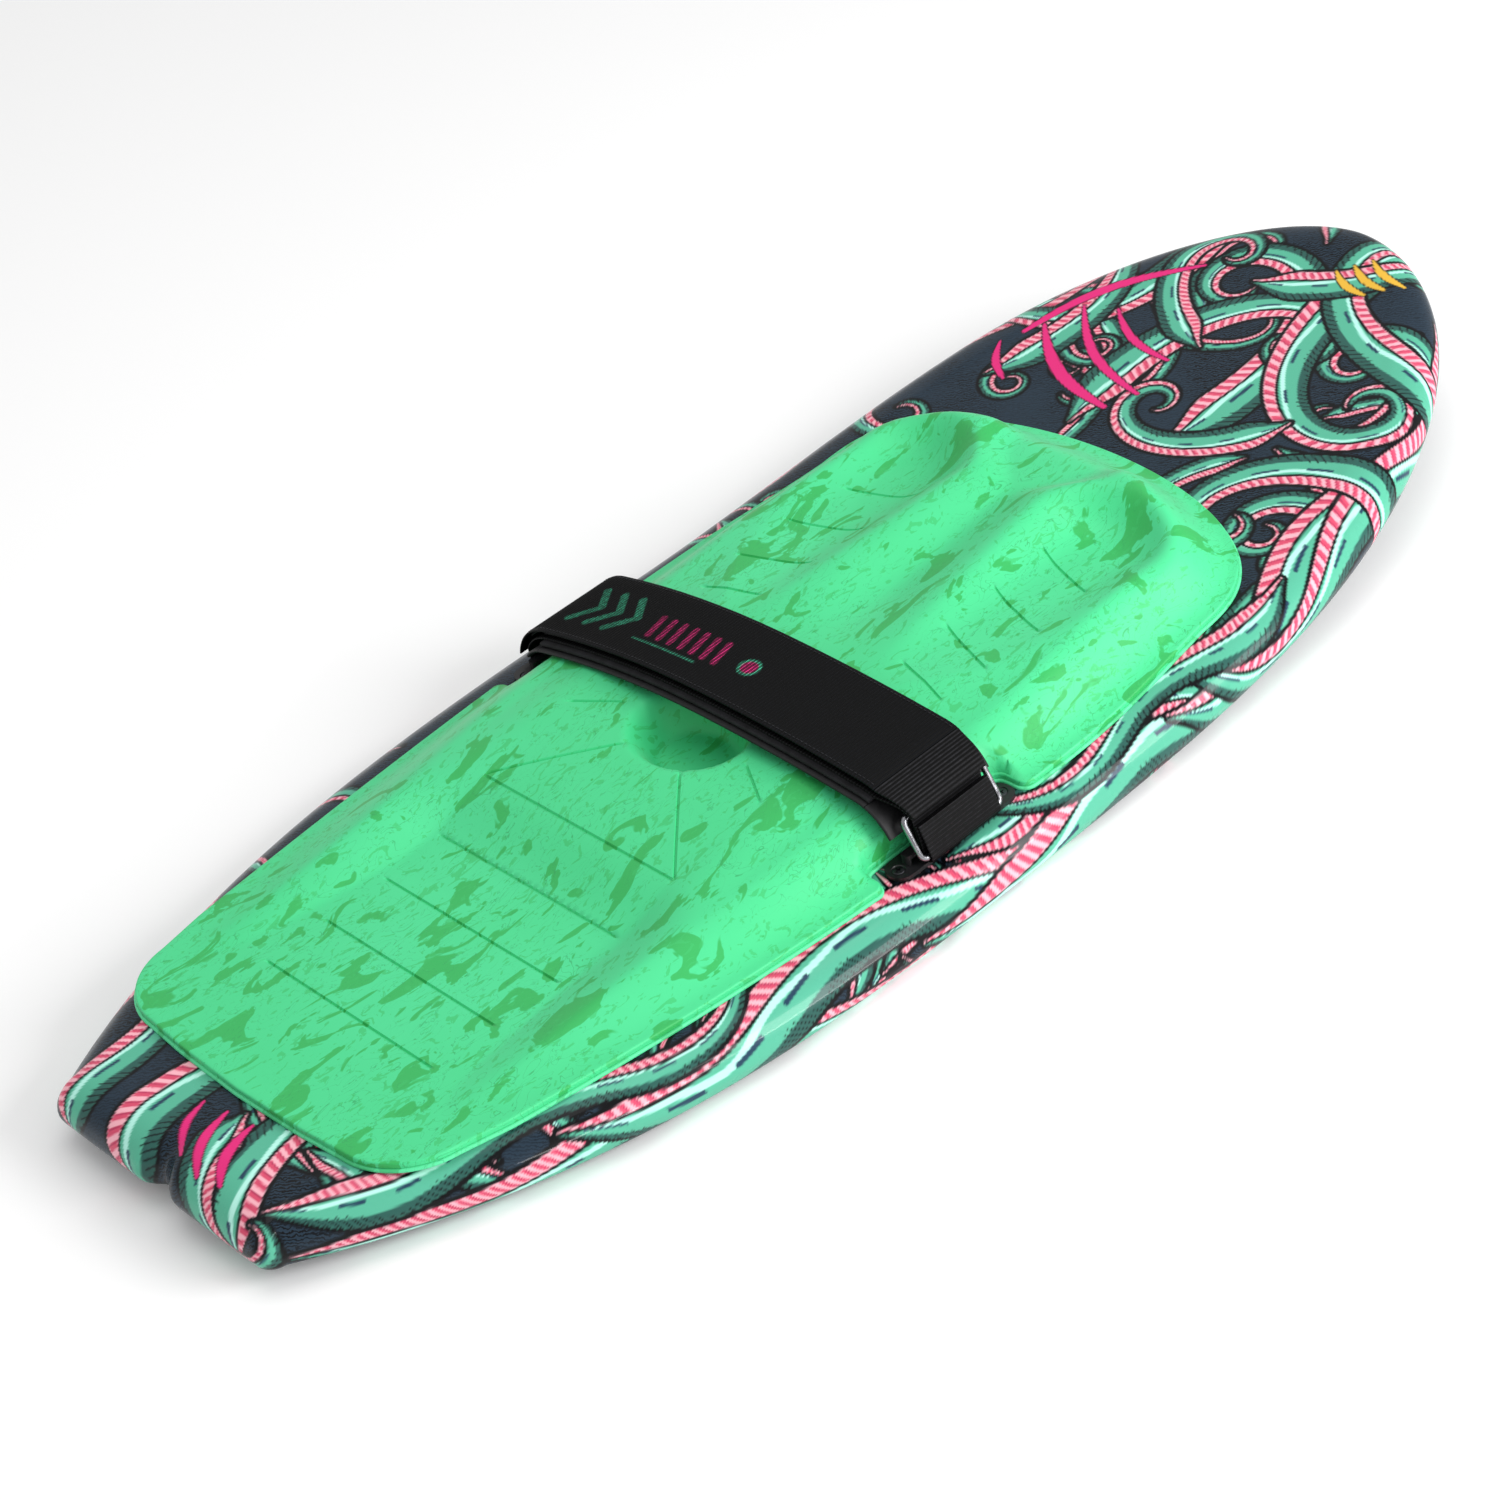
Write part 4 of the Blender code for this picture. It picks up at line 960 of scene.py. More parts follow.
def build_board(printed, plain):
    outline = board_outline(FINE)
    upper = rail_section(RAIL_ABOVE, FINE)
    lower = rail_section(RAIL_BELOW[:4], FINE)
    rim = shrunk(outline, RAIL_ABOVE[0][0])
    pad = pad_outline(False, 0.01)
    pad_middle = np.array((pad.mean(0)[0], 0))
    under_pad = (pad - pad_middle) * UNDER_PAD + pad_middle
    corner = (-BOARD_LENGTH / 2, -HALF_WIDTH)
    fine = staggered(corner, (BOARD_LENGTH / 2, HALF_WIDTH), FINE)
    fine = fine[~inside(fine, under_pad)]
    near_rim = shrunk(outline[::3], RAIL_ABOVE[0][0] + FINE * 0.6)
    fine = fine[inside(fine, near_rim)]
    coarse = staggered(corner, (BOARD_LENGTH / 2, HALF_WIDTH), COARSE)
    coarse = coarse[inside(coarse, (under_pad - pad_middle) * COARSE_SHARE + pad_middle)]
    extra = np.vstack([fine, coarse])
    flat = np.vstack([rim, extra])
    top_points = np.column_stack([flat, deck_top(flat[:, 0])])
    top_faces = fill(rim, extra)
    upper_points, upper_faces, upper_art = swept(outline, upper, 0.0)
    lower_points, lower_faces, lower_art = swept(outline, lower, upper[-1, 2])

    canvas = new_canvas(np.vstack([flat, upper_art, lower_art]))
    paint_graphic(canvas)
    colour, ground = painted(canvas)
    start = 0
    for name, points, faces, slot, node in (
        ("deck_face", top_points, top_faces, "deck_print", "deck_shell"),
        ("deck_rail", upper_points, upper_faces, "deck_print", "deck_shell"),
        ("base_rail", lower_points, lower_faces, "base_plastic", "base_shell"),
    ):
        made = piece(name, points, faces, printed, 60)
        end = start + len(points)
        set_attribute(made.data, "print", colour[start:end])
        set_attribute(made.data, "ground", ground[start:end])
        start = end
        if made.data.polygons[len(faces) // 2].normal.z < 0 and name == "deck_face":
            made.data.flip_normals()
        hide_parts(node)
        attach(made, "root")

    rings = rail_section(RAIL_BELOW[3:], RAIL_STEP_BELOW)
    coarse_outline = outline[::3]
    bottom_points, bottom_faces, _ = swept(coarse_outline, rings, 0.0)
    inner = shrunk(coarse_outline, RAIL_BELOW[-1][0])
    spread = staggered(corner, (BOARD_LENGTH / 2, HALF_WIDTH), COARSE)
    spread = spread[inside(spread, shrunk(coarse_outline, RAIL_BELOW[-1][0] + BOTTOM_ROOM))]
    first = len(bottom_points) - len(inner)
    extra_points = np.column_stack([spread, rocker(spread[:, 0])])
    faces = [[v + first for v in face] for face in fill(inner, spread)]
    points = np.vstack([bottom_points, extra_points])
    bottom = piece("base_bottom", points, bottom_faces + faces, plain, 60)
    if bottom.data.polygons[-1].normal.z > 0:
        bottom.data.flip_normals()
    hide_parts("base_shell")
    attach(bottom, "root")


# ---------------------------------------------------------------- kneeling pad

PAD_GRID = 0.0042
EDGE_ROUND = 0.0016
SCORE_HALF_WIDTH = 0.0014
SCORE_DEPTH = 0.0017
SCORE_FLOOR = 0.35
SCORE_STEP = 0.0016
# Room kept free of grid points beside a scored line and inside the edge
SCORE_ROOM = 0.0012
EDGE_ROOM = 0.0018
BOWL_ROOM = 1.02
# How straight the channel's walls are, and how late the wells' walls rise
CREASED = 0.7
WALL_STEEPNESS = 1.8
# Scored lines moulded into the pad, each drawn on both sides where it has a partner
CROSS_SCORES = ((-0.480, 0.097), (-0.424, 0.098), (-0.366, 0.100), (-0.310, 0.102), (-0.256, 0.107))
SIDE_SCORES = (
    ((-0.256, 0.107), (-0.176, 0.030)), ((-0.168, 0.108), (-0.142, 0.065)),
    ((0.180, 0.065), (0.157, 0.133)), ((0.121, 0.068), (0.097, 0.140)),
    ((0.064, 0.072), (0.041, 0.137)), ((0.012, 0.076), (-0.003, 0.132)),
)


def score_lines():
    lines = [np.array([(x, -half), (x, half)]) for x, half in CROSS_SCORES]
    for start, end in SIDE_SCORES:
        for side in (-1, 1):
            lines.append(np.array([start, end]) * (1, side))
    return lines


def pad_relief(x, y):
    """The pad's height without its edges: channel behind, wells and valley in front, and the hand bowl."""
    a = np.abs(y)
    crest = through(x, CREST) - through(x, SIDE_FALL) * smooth((a - FALL_FROM) / (FALL_TO - FALL_FROM))
    channel = through(x, CHANNEL_FLOOR)
    climb = np.clip((a - CHANNEL_FOOT) / (CHANNEL_CREST - CHANNEL_FOOT), 0, 1)
    rear = channel + (crest - channel) * (CREASED * climb + (1 - CREASED) * smooth(climb))
    straight = np.abs(a - WELL_CENTRE) / through(x, WELL_SIDES)
    round_end = np.hypot((x - WELL_TURN) / WELL_NOSE, (a - WELL_CENTRE) / WELL_SIDES[-1][1])
    share = np.where(x <= WELL_TURN, straight, round_end)
    floor = np.minimum(through(x, WELL_FLOOR), crest)
    bowl_wall = (1 - np.cos(math.pi * np.clip(share, 0, 1) ** WALL_STEEPNESS)) / 2
    inner = WELL_CENTRE - through(x, WELL_SIDES)
    valley = VALLEY_DEPTH * smooth((x - WELL_START) / VALLEY_LENGTH)
    opening = smooth((x - VALLEY_OPENS[0]) / VALLEY_OPENS[1])
    valley = valley * smooth((inner - a) / np.maximum(inner, VALLEY_NARROWEST) + opening)
    between = crest - np.where(a < WELL_CENTRE, valley, 0)
    front = np.where(share < 1, floor + (crest - floor) * bowl_wall, between)
    seam = smooth((x - WELL_START + WELL_SEAM / 2) / WELL_SEAM)
    height = rear * (1 - seam) + front * seam
    bowl = np.hypot((x - BOWL_CENTRE) / BOWL_HALF_LENGTH, y / BOWL_HALF_WIDTH)
    return height - BOWL_DEPTH * smooth((1 - bowl) / BOWL_SOFTNESS)


def pad_top(points, plain, notched):
    x, y = points[:, 0], points[:, 1]
    flange = deck_top(x) + 2 * GAP + BACKING_THICKNESS + FLANGE_THICKNESS
    slope = smooth((edge_distance(points, plain) - EDGE_ROUND) / through(x, PAD_SLOPE))
    from_notch = np.clip((edge_distance(points, notched) - EDGE_ROUND) / NOTCH_SLOPE, 0, 1)
    wall = np.sqrt(1 - (1 - from_notch) ** 2)
    return flange + (np.maximum(pad_relief(x, y), flange) - flange) * np.minimum(slope, wall)


def inward(outline, distance):
    run = way_round(outline)
    return outline + np.column_stack([run[:, 1], -run[:, 0]]) * distance


def rounded_slab(name, outline, extra, top_of, low, flat_top, material):
    """A closed foam sheet with a rounded upper edge."""
    arcs = np.radians([0, 30, 60, 90])
    rings = [np.column_stack([outline, low(outline[:, 0])])]
    for angle in arcs:
        ring = inward(outline, EDGE_ROUND * (1 - math.cos(angle)))
        rings.append(np.column_stack([ring, flat_top(ring[:, 0]) - EDGE_ROUND * (1 - math.sin(angle))]))
    faces = quads(len(rings), len(outline))
    first = (len(rings) - 1) * len(outline)
    faces += [[v + first for v in face] for face in fill(rings[-1][:, :2], extra)]
    under = fill(outline, np.empty((0, 2)))
    faces += [list(reversed(face)) for face in under]
    points = rings + ([np.column_stack([extra, top_of(extra)])] if len(extra) else [])
    return piece(name, np.vstack(points), faces, material, 50)


def build_pad(marbled, backing):
    notched, plain = pad_outline(True, 0.0025), pad_outline(False, 0.006)
    rough_notch = pad_outline(True, 0.005)
    grid = staggered((PAD_REAR - 0.01, -0.23), (PAD_FRONT, 0.23), PAD_GRID)
    grid = grid[inside(grid, notched)]
    grid = grid[edge_distance(grid, rough_notch) > EDGE_ROUND + EDGE_ROOM]
    rows, drops = [], []
    for line in score_lines():
        length = np.linalg.norm(line[1] - line[0])
        way = (line[1] - line[0]) / length
        side = np.array([-way[1], way[0]])
        middle = resampled(line, SCORE_STEP)
        t = np.clip((grid - line[0]) @ way, 0, length)
        grid = grid[np.linalg.norm(grid - line[0] - t[:, None] * way, axis=1) > SCORE_HALF_WIDTH + SCORE_ROOM]
        ends = np.minimum(np.arange(len(middle)), np.arange(len(middle))[::-1])
        for place, depth in ((-1, 0), (-SCORE_FLOOR, 1), (SCORE_FLOOR, 1), (1, 0)):
            rows.append(middle + side * SCORE_HALF_WIDTH * place)
            drops.append(SCORE_DEPTH * depth * np.clip(ends / 3, 0, 1))
    rows, drops = np.vstack(rows), np.concatenate(drops)
    bowl = np.hypot((rows[:, 0] - BOWL_CENTRE) / BOWL_HALF_LENGTH, rows[:, 1] / BOWL_HALF_WIDTH)
    rows, drops = rows[bowl > BOWL_ROOM], drops[bowl > BOWL_ROOM]
    extra = np.vstack([grid, rows])
    drop = np.concatenate([np.zeros(len(grid)), drops])
    base = 2 * GAP + BACKING_THICKNESS

    pad = rounded_slab(
        "kneeling_pad", notched, extra, lambda p: pad_top(p, plain, rough_notch) - drop,
        lambda x: deck_top(x) + base, lambda x: deck_top(x) + base + FLANGE_THICKNESS, marbled,
    )
    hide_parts("knee_pad")
    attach(pad, "root")
    sheet_outline = inward(pad_outline(True, 0.003), -BACKING_MARGIN)
    sheet = rounded_slab(
        "pad_backing_sheet", sheet_outline, np.empty((0, 2)), None, lambda x: deck_top(x) + GAP,
        lambda x: deck_top(x) + GAP + BACKING_THICKNESS, backing,
    )
    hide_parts("pad_backing")
    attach(sheet, "root")


# ---------------------------------------------------------------- strap

RIB_PITCH = 0.0030
RIB_HEIGHT = 0.00034
ACROSS_STEP = 0.00135
PLAIN_STEP = 0.003
PLAIN_ACROSS = 0.004
# How sharply the ribs end at a selvage
RIB_END_POWER = 14


def crown_angle(side):
    """Where the broad arc over the pad meets a shoulder's arc."""
    y, z = SHOULDERS[side]
    return 2 * math.atan((CROWN_Z - z - SHOULDER_RADIUS) / y)


def wrap_point(angle, height, side):
    """(y, z) at an angle from upright and a height above the strap's underside, on one side."""
    y, z = SHOULDERS[side]
    if angle < crown_angle(side):
        reach = y / math.sin(crown_angle(side)) + SHOULDER_RADIUS + height
        middle = CROWN_Z - y / math.sin(crown_angle(side)) - SHOULDER_RADIUS
        return side * reach * math.sin(angle), middle + reach * math.cos(angle)
    reach = SHOULDER_RADIUS + height
    return side * (y + reach * math.sin(angle)), z + reach * math.cos(angle)


def wrap_run(height, side, start, end):
    return [wrap_point(a, height, side) for a in np.linspace(start, end, 48)]


def arch_run(height, near_end, far_end):
    near = wrap_run(height, -1, 0.0, near_end)[::-1]
    return near + wrap_run(height, 1, 0.0, far_end)[1:]


def arc(centre, radius, start, end, steps):
    angles = np.radians(np.linspace(start, end, steps + 1))
    return [(centre[0] + radius * math.cos(a), centre[1] + radius * math.sin(a)) for a in angles]


def band(name, path, widths, thickness, material, ribs=True, closed=False, step=None):
    """Webbing swept along (y, z) points, with rounded selvages and ribs that stand off both faces."""
    step = step or (RIB_PITCH / 5 if ribs else PLAIN_STEP)
    path = resampled(path, step)
    if closed:
        path = path[:-1]
    count = len(path)
    before, after = np.roll(path, 1, axis=0), np.roll(path, -1, axis=0)
    if not closed:
        before[0], after[-1] = path[0], path[-1]
    way = unit(after - before)
    normal = np.column_stack([-way[:, 1], way[:, 0]])
    run = np.arange(count) * step
    first, last = widths
    half = (first + (last - first) * np.linspace(0, 1, count)) / 2
    r = thickness / 2
    inner = np.linspace(-1, 1, max(4, int(first / (ACROSS_STEP if ribs else PLAIN_ACROSS))))
    turn = np.radians([60, 25, -25, -60])
    section = []
    for side in (1, -1):
        section += [(u, 0.0, side, 1.0) for u in inner[::side]]
        section += [(side, side * math.cos(a), math.sin(a), 0.0) for a in turn[::side]]
    lift = RIB_HEIGHT * np.cos(2 * math.pi * run / RIB_PITCH) if ribs else np.zeros(count)
    rings, spans = [], []
    for u, out, up, flat in section:
        x = STRAP_X + u * (half - r) + out * r
        ribbed = math.copysign(flat, up) * lift * (1 - abs(u) ** RIB_END_POWER)
        height = up * (r - (RIB_HEIGHT if ribs else 0)) + ribbed
        rings.append(np.column_stack([x, path + normal * height[:, None]]))
        spans.append(u * half + out * r)
    points = np.stack(rings, axis=1).reshape(-1, 3)
    spans = np.stack(spans, axis=1).ravel()
    size = len(section)
    faces = quads(count, size, closed)
    if not closed:
        faces.append(tuple(range(size)))
        faces.append(tuple((count - 1) * size + k for k in reversed(range(size))))
    made = piece(name, points, faces, material, 50)
    set_attribute(made.data, "run", np.repeat(run, size))
    set_attribute(made.data, "span", spans)
    return made


def layer_band(name, sizes, run, ends, material, slot):
    """A layer of the strap between two heights, along an arch_run or a wrap_run. Webbing has ribs."""
    low, high, width = sizes
    path = run((low + high) / 2, *ends)
    return band(name, path, (width, width), high - low, material, slot == "webbing")


def ring_bars():
    """The middles of the ring's inner and outer bars, as (y, z)."""
    y, z = wrap_point(RING_ANGLE, RING_REACH - SHOULDER_RADIUS, -1)
    return (y, z), (y - RING_HEIGHT * math.cos(RING_SLOPE), z - RING_HEIGHT * math.sin(RING_SLOPE))


def bracket_bar():
    z = deck_top(STRAP_X) + GAP + PLATE_THICKNESS + SLOT_HEIGHT + BAR_THICKNESS / 2
    return -ANCHOR_Y, float(z)


def paint_strap(made):
    """Mint chevrons, magenta bars and a mint rule on the webbing's far half, and a dot near its middle."""
    # Places are the distance towards the far side, then towards the nose
    mesh = made.data
    co = np.empty(len(mesh.vertices) * 3)
    mesh.vertices.foreach_get("co", co)
    co = co.reshape(-1, 3)
    canvas = new_canvas(np.column_stack([co[:, 1], co[:, 0] - STRAP_X]))
    canvas["colour"][:] = BLACK

    def mark(start, end, half_width, colour):
        path = resampled(np.array([start, end]), 0.004)
        index, _, across, half = measure(canvas, path, np.full(len(path), half_width))
        lay(canvas, index, within(np.abs(across) - half), colour)

    for tip in (0.118, 0.140, 0.162):
        for side in (-1, 1):
            mark((tip, 0.0), (tip + 0.017, side * 0.021), 0.0036, MINT)
    for k in range(7):
        y = 0.016 + 0.0125 * k
        mark((y, -0.013), (y + 0.006, 0.010), 0.0029, STRAP_MAGENTA)
    mark((0.030, -0.021), (0.100, -0.021), 0.0010, MINT)
    for radius, colour in ((0.010, MINT), (0.0072, STRAP_MAGENTA)):
        disc(canvas, np.array([-0.012, -0.002]), radius, colour)
    colour, _ = painted(canvas)
    colour[co[:, 2] < 0, :3] = linear(np.array(BLACK, float))
    set_attribute(mesh, "print", colour)


STITCH_PITCH = 0.0042
STITCH_LENGTH = 0.0029
THREAD_RADIUS = 0.00028


def stitches(name, path, rows, lift, material):
    """Rows of thread stitches lying on webbing. A row is its distance from the strap's middle."""
    centre = resampled(path, STITCH_PITCH)
    way = unit(np.gradient(centre, axis=0))
    points, faces = [], []
    sideways, sides = np.array([1, 0, 0]), 6
    turns = np.radians(np.arange(sides) * 360 / sides)
    for row in rows:
        for k in range(1, len(centre) - 1):
            out = np.array([0, -way[k][1], way[k][0]])
            out = out if out[2] > 0 or abs(out[1]) > 0.5 else -out
            run = np.array([0, way[k][0], way[k][1]])
            middle = np.array([STRAP_X + row, centre[k][0], centre[k][1]]) + out * lift
            start = len(points)
            for share, size in ((-0.5, 0.35), (-0.3, 1.0), (0.3, 1.0), (0.5, 0.35)):
                for angle in turns:
                    around = sideways * math.cos(angle) + out * math.sin(angle)
                    points.append(middle + run * share * STITCH_LENGTH + around * THREAD_RADIUS * size)
            faces += [tuple(start + v for v in face) for face in quads(4, sides)]
            faces.append(tuple(start + q for q in range(sides)))
            faces.append(tuple(start + 3 * sides + q for q in reversed(range(sides))))
    return piece(name, points, faces, material, 60)


# Where the tapes start and the hooks end, as shares of the cut angle
TAPE_STARTS = 0.7
HOOKS_END = 2.2
SEAM_MARGIN = 0.0035
THREAD_SUNK = 0.0001


def build_strap(webbing, printed_webbing, lining, foam, tape, thread):
    cut = CUT_ANGLE - GAP / SHOULDER_RADIUS / 2
    leg = CUT_ANGLE + GAP / SHOULDER_RADIUS / 2
    tape_start = CUT_ANGLE * TAPE_STARTS
    for name, node, sizes, ends, material, slot in (
        ("strap_lining_arch", "strap_lining", LINING, (cut, cut), lining, "lining"),
        ("strap_foam_layer", "strap_foam", FOAM, (cut, cut), foam, "strap_foam"),
        ("strap_standing_run", "standing_webbing", STANDING, (cut, cut), webbing, "webbing"),
        ("strap_loop_tape", "loop_tape", LOOP_TAPE, (tape_start, cut), tape, "tape"),
    ):
        made = layer_band(name, sizes, arch_run, ends, material, slot)
        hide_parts(node)
        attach(made, "strap_arch")

    hooks = layer_band(
        "strap_hook_tape", HOOK_TAPE, arch_run, (tape_start, CUT_ANGLE * HOOKS_END), tape, "tape",
    )
    tail = layer_band("strap_fold_back", TAIL, arch_run, (cut, TAIL_END_ANGLE), printed_webbing, "webbing")
    paint_strap(tail)
    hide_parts("hook_tape")
    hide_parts("tail_webbing")
    middle = (TAIL[0] + TAIL[1]) / 2
    rows = [side * (TAIL[2] / 2 - SEAM_MARGIN) for side in (-1, 1)]
    tail_path = arch_run(middle, cut, TAIL_END_ANGLE)
    seam = stitches("strap_edge_stitching", tail_path, rows, WEBBING / 2 - THREAD_SUNK, thread)
    for made in (hooks, tail, seam):
        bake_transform(made)

    near_lining, far_lining = (
        layer_band(name, LINING, wrap_run, (side, leg, LINING_END_ANGLES[side]), lining, "lining")
        for name, side in (("near_lining_end", -1), ("far_lining_end", 1))
    )
    height = (STANDING[0] + STANDING[1]) / 2
    bar_y, bar_z = -bracket_bar()[0], bracket_bar()[1]
    turn = BAR_WIDTH / 2 + GAP + WEBBING / 2
    under = bar_z - BAR_THICKNESS / 2 - GAP - WEBBING / 2
    bend = WEBBING * 0.8
    path = wrap_run(height, 1, leg, math.radians(60)) + [(bar_y + turn, bar_z + BAR_THICKNESS)]
    path += arc((bar_y + turn - bend, under + bend), bend, 0, -90, 6) + [(bar_y - BAR_WIDTH, under)]
    far_leg = band("far_anchor_run", path, (STANDING[2], FAR_END_WIDTH), WEBBING, webbing)
    pieces = [
        (near_lining, "near_lining_leg", -1),
        (far_lining, "far_lining_leg", 1),
        (far_leg, "far_webbing_leg", 1),
    ]
    over_keeper = WIRE_RADIUS + GAP + KEEPER + GAP + WEBBING / 2
    for name, node, sizes, rise in (
        ("near_run_lower", "near_ply_lower", STANDING, over_keeper),
        ("near_run_upper", "near_ply_upper", TAIL, over_keeper + WEBBING + GAP),
    ):
        first = (sizes[0] + sizes[1]) / 2
        last = RING_REACH - SHOULDER_RADIUS + rise
        past = RING_ANGLE + PLY_PAST_BAR / RING_REACH
        path = []
        for share in np.linspace(0, 1, 60):
            climb = float(smooth(share * (past - leg) / (RING_ANGLE - leg)))
            path.append(wrap_point(leg + (past - leg) * share, first + (last - first) * climb, -1))
        pieces.append((band(name, path, (PLY_WIDTH, RING_PLY_WIDTH), WEBBING, webbing), node, -1))
    for made, node, side in pieces:
        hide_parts(node)
        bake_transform(made)


def build_ring(steel, webbing):
    inner, outer = ring_bars()
    half = RING_LENGTH / 2 - RING_CORNER
    corners = (
        (half, -RING_CORNER, 90), (half, -RING_HEIGHT + RING_CORNER, 0),
        (-half, -RING_HEIGHT + RING_CORNER, -90), (-half, -RING_CORNER, -180),
    )
    loop = []
    for x, y, start in corners:
        for k in range(11):
            angle = math.radians(start - 9 * k)
            loop.append((x + RING_CORNER * math.cos(angle), y + RING_CORNER * math.sin(angle)))
    loop = resampled(np.array(loop + loop[:1]), WIRE_STEP)[:-1]
    way = way_round(loop)
    place = Matrix.Translation((STRAP_X, inner[0], inner[1])) @ Matrix.Rotation(RING_SLOPE, 4, "X")
    points, weld = [], len(loop) // 8
    for i, ((x, y), (dx, dy)) in enumerate(zip(loop, way)):
        swell = 1 + WELD[0] * math.exp(-((i - weld) / WELD[1]) ** 2)
        for k in range(WIRE_SIDES):
            angle = 2 * math.pi * k / WIRE_SIDES
            out = WIRE_RADIUS * math.cos(angle) * swell
            points.append(place @ Vector((x - dy * out, y + dx * out, WIRE_RADIUS * math.sin(angle) * swell)))
    ring = piece("ring_wire", points, quads(len(loop), WIRE_SIDES, True), steel, 60)
    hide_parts("steel_ring")
    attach(ring, "ring")

    slope = math.degrees(RING_SLOPE)
    turn = WIRE_RADIUS + GAP + WEBBING / 2
    over = WIRE_RADIUS + 2 * GAP + KEEPER + 1.5 * WEBBING + GAP
    out = Vector((-math.cos(RING_SLOPE), -math.sin(RING_SLOPE)))
    up = Vector((-math.sin(RING_SLOPE), math.cos(RING_SLOPE)))
    start = Vector(inner) + out * FOLD_FROM_BAR
    first, last = (tuple(start + up * over * rise) for rise in FOLD_RISE)
    path = [first] + arc(outer, turn, FOLD_SWEEP[0] + slope, FOLD_SWEEP[1] + slope, 24) + [last]
    fold = band("ring_fold_roll", path, (FOLD_WIDTH, FOLD_WIDTH), WEBBING, webbing)
    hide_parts("ring_fold")
    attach(fold, "ring")

    low = bracket_bar()
    top_turn = WIRE_RADIUS + GAP + KEEPER / 2
    half_bar = BAR_WIDTH / 2 + GAP + KEEPER / 2
    half_height = BAR_THICKNESS / 2 + GAP + KEEPER / 2
    lean = math.degrees(math.atan2(low[0] - inner[0], inner[1] - low[1]))
    path = arc(inner, top_turn, lean, 180 + lean, 16)
    for side, low_first in ((-1, False), (1, True)):
        corner = [
            (low[0] + side * half_bar, low[1] + BAR_THICKNESS / 2),
            (low[0] + side * half_bar, low[1] - half_height + KEEPER_BEND * 1.5),
            (low[0] + side * (half_bar - KEEPER_BEND), low[1] - half_height),
        ]
        path += corner[::-1] if low_first else corner
    path += [(inner[0] - KEEPER_SLACK[0], inner[1] - KEEPER_SLACK[1]), path[0]]
    widths = (KEEPER_WIDTH, KEEPER_WIDTH)
    keeper = band("anchor_keeper", path, widths, KEEPER, webbing, False, True, KEEPER_STEP)
    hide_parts("ring_keeper")
    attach(keeper, "root")


# ---------------------------------------------------------------- anchors and fasteners


def dress(node, material, bevel=0.0):
    """A CAD node's finish, with its sharp edges eased."""
    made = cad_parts[node]
    made.data.materials.clear()
    made.data.materials.append(material)
    if bevel:
        ease_edges = made.modifiers.new("eased_edges", "BEVEL")
        ease_edges.width = bevel
        ease_edges.segments = 2
        ease_edges.limit_method = "ANGLE"
        ease_edges.angle_limit = math.radians(40)


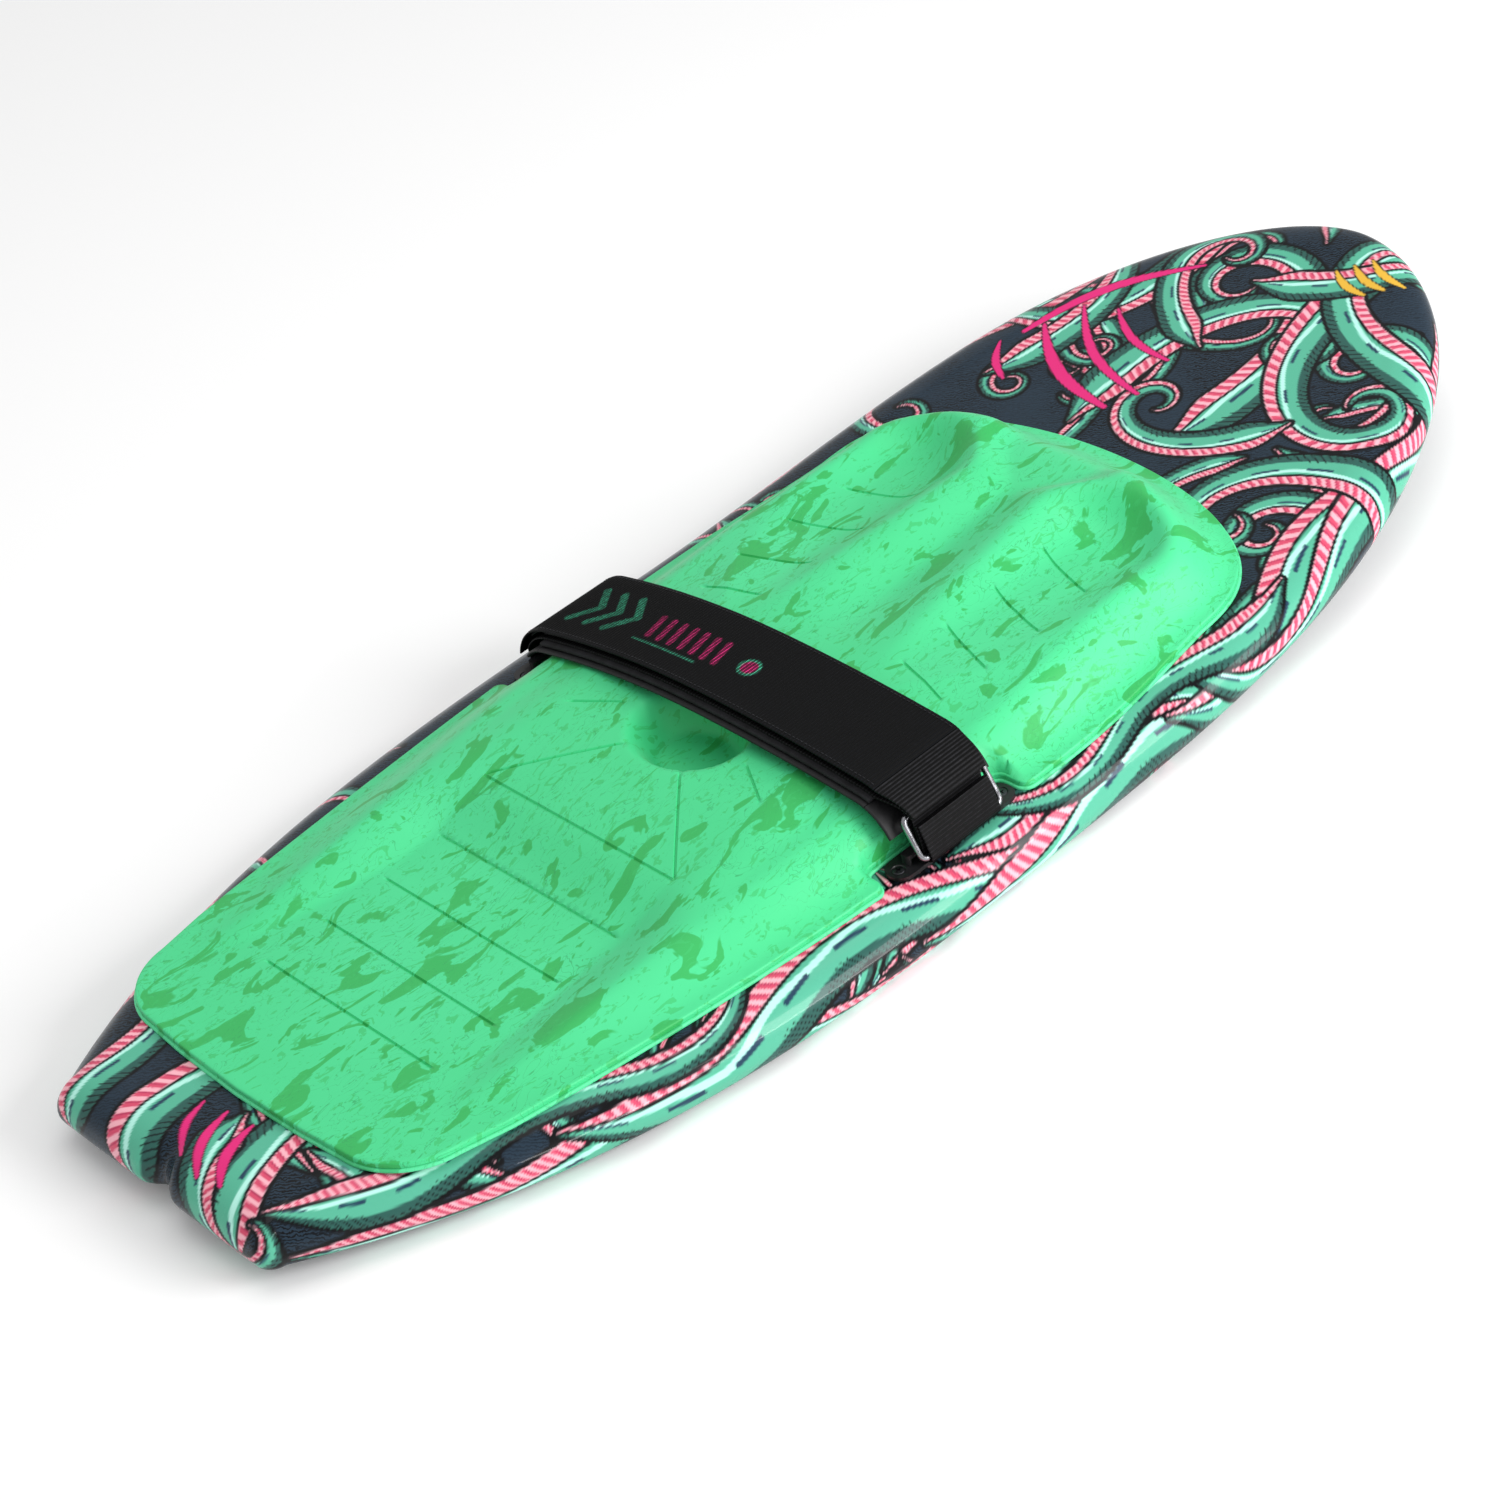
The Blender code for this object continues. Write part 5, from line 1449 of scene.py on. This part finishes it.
def screw_with_drive(name, centre_x, centre_y, top, length, material):
    """A countersunk screw whose head has a cross recess."""
    profile = [
        (HEAD_RADIUS - 0.0004, 0.0), (HEAD_RADIUS, -0.0003),
        (SHANK_RADIUS, -HEAD_DEPTH), (SHANK_RADIUS, -length),
    ]
    bm = bmesh.new()
    columns = []
    steps = 40
    for k in range(steps):
        angle = 2 * math.pi * k / steps
        columns.append([bm.verts.new((r * math.cos(angle), r * math.sin(angle), z)) for r, z in profile])
    for k in range(steps):
        here, there = columns[k], columns[(k + 1) % steps]
        for i in range(len(here) - 1):
            bm.faces.new((here[i], there[i], there[i + 1], here[i + 1]))
    bm.faces.new([c[0] for c in columns])
    bm.faces.new([c[-1] for c in reversed(columns)])
    bmesh.ops.recalc_face_normals(bm, faces=bm.faces)
    mesh = bpy.data.meshes.new(name)
    bm.to_mesh(mesh)
    bm.free()
    mesh.materials.append(material)
    made = in_scene(name, mesh)
    cross = bmesh.new()
    arm, width, depth = DRIVE
    for size in ((arm, width, depth), (width, arm, depth)):
        cube = bmesh.ops.create_cube(cross, size=1.0)
        bmesh.ops.scale(cross, vec=size, verts=cube["verts"])
    cross_mesh = bpy.data.meshes.new(name + "_drive")
    cross.to_mesh(cross_mesh)
    cross.free()
    cutter = in_scene(name + "_drive", cross_mesh)
    cut = made.modifiers.new("drive", "BOOLEAN")
    cut.operation = "DIFFERENCE"
    cut.object = cutter
    cut.solver = "EXACT"
    cut.use_self = True
    bpy.context.view_layer.update()
    graph = bpy.context.evaluated_depsgraph_get()
    final = bpy.data.meshes.new_from_object(made.evaluated_get(graph))
    made.modifiers.clear()
    made.data = final
    bpy.data.objects.remove(cutter, do_unlink=True)
    final.shade_smooth()
    final.set_sharp_from_angle(angle=math.radians(30))
    made.location = (centre_x, centre_y, top)
    return made


def build_anchors(plastic, steel, brass):
    for side_name, side in (("near", -1), ("far", 1)):
        dress(side_name + "_bracket", plastic, 0.0005)
        for end_name, end in (("rear", -1), ("front", 1)):
            node = f"screw_{side_name}_{end_name}"
            low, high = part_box(node)
            x, y = STRAP_X + end * SCREW_SPACING / 2, side * ANCHOR_Y
            made = screw_with_drive(f"anchor_{node}", x, y, high.z, high.z - low.z, steel)
            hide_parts(node)
            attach(made, "root")
            dress(f"insert_{side_name}_{end_name}", brass)


build_camera()
build_studio()

printed_skin = print_material()
build_board(printed_skin, base_material())
build_pad(pad_material(), pad_material("backing_sheet", (78, 216, 148), (60, 190, 120)))
black_web = woven_material("black_webbing", srgb(14, 14, 16), RIB_PITCH, 0.62)
build_strap(
    black_web, woven_material("printed_webbing", srgb(14, 14, 16), RIB_PITCH, 0.62, True),
    soft_material("neoprene_lining", srgb(17, 17, 19), 0.55, 900.0, 0.00006),
    soft_material("open_foam", srgb(24, 24, 27), 0.9, 600.0, 0.0002),
    soft_material("hook_and_loop", srgb(18, 18, 20), 0.9, 620.0, 0.0006),
    soft_material("thread", srgb(38, 38, 42), 0.5, 2000.0, 0.00005),
)
build_ring(metal_material("worn_steel", (0.30, 0.30, 0.32), 0.18, 0.36), black_web)
build_anchors(
    plastic_material("anchor_black", srgb(18, 18, 20), 0.36),
    metal_material("blackened_steel", (0.08, 0.08, 0.09), 0.3, 0.5),
    metal_material("brass", (0.72, 0.50, 0.20), 0.28, 0.45),
)
dress("foam_core", soft_material("core_foam_cells", (0.80, 0.76, 0.62), 0.9, 500.0, 0.0003))
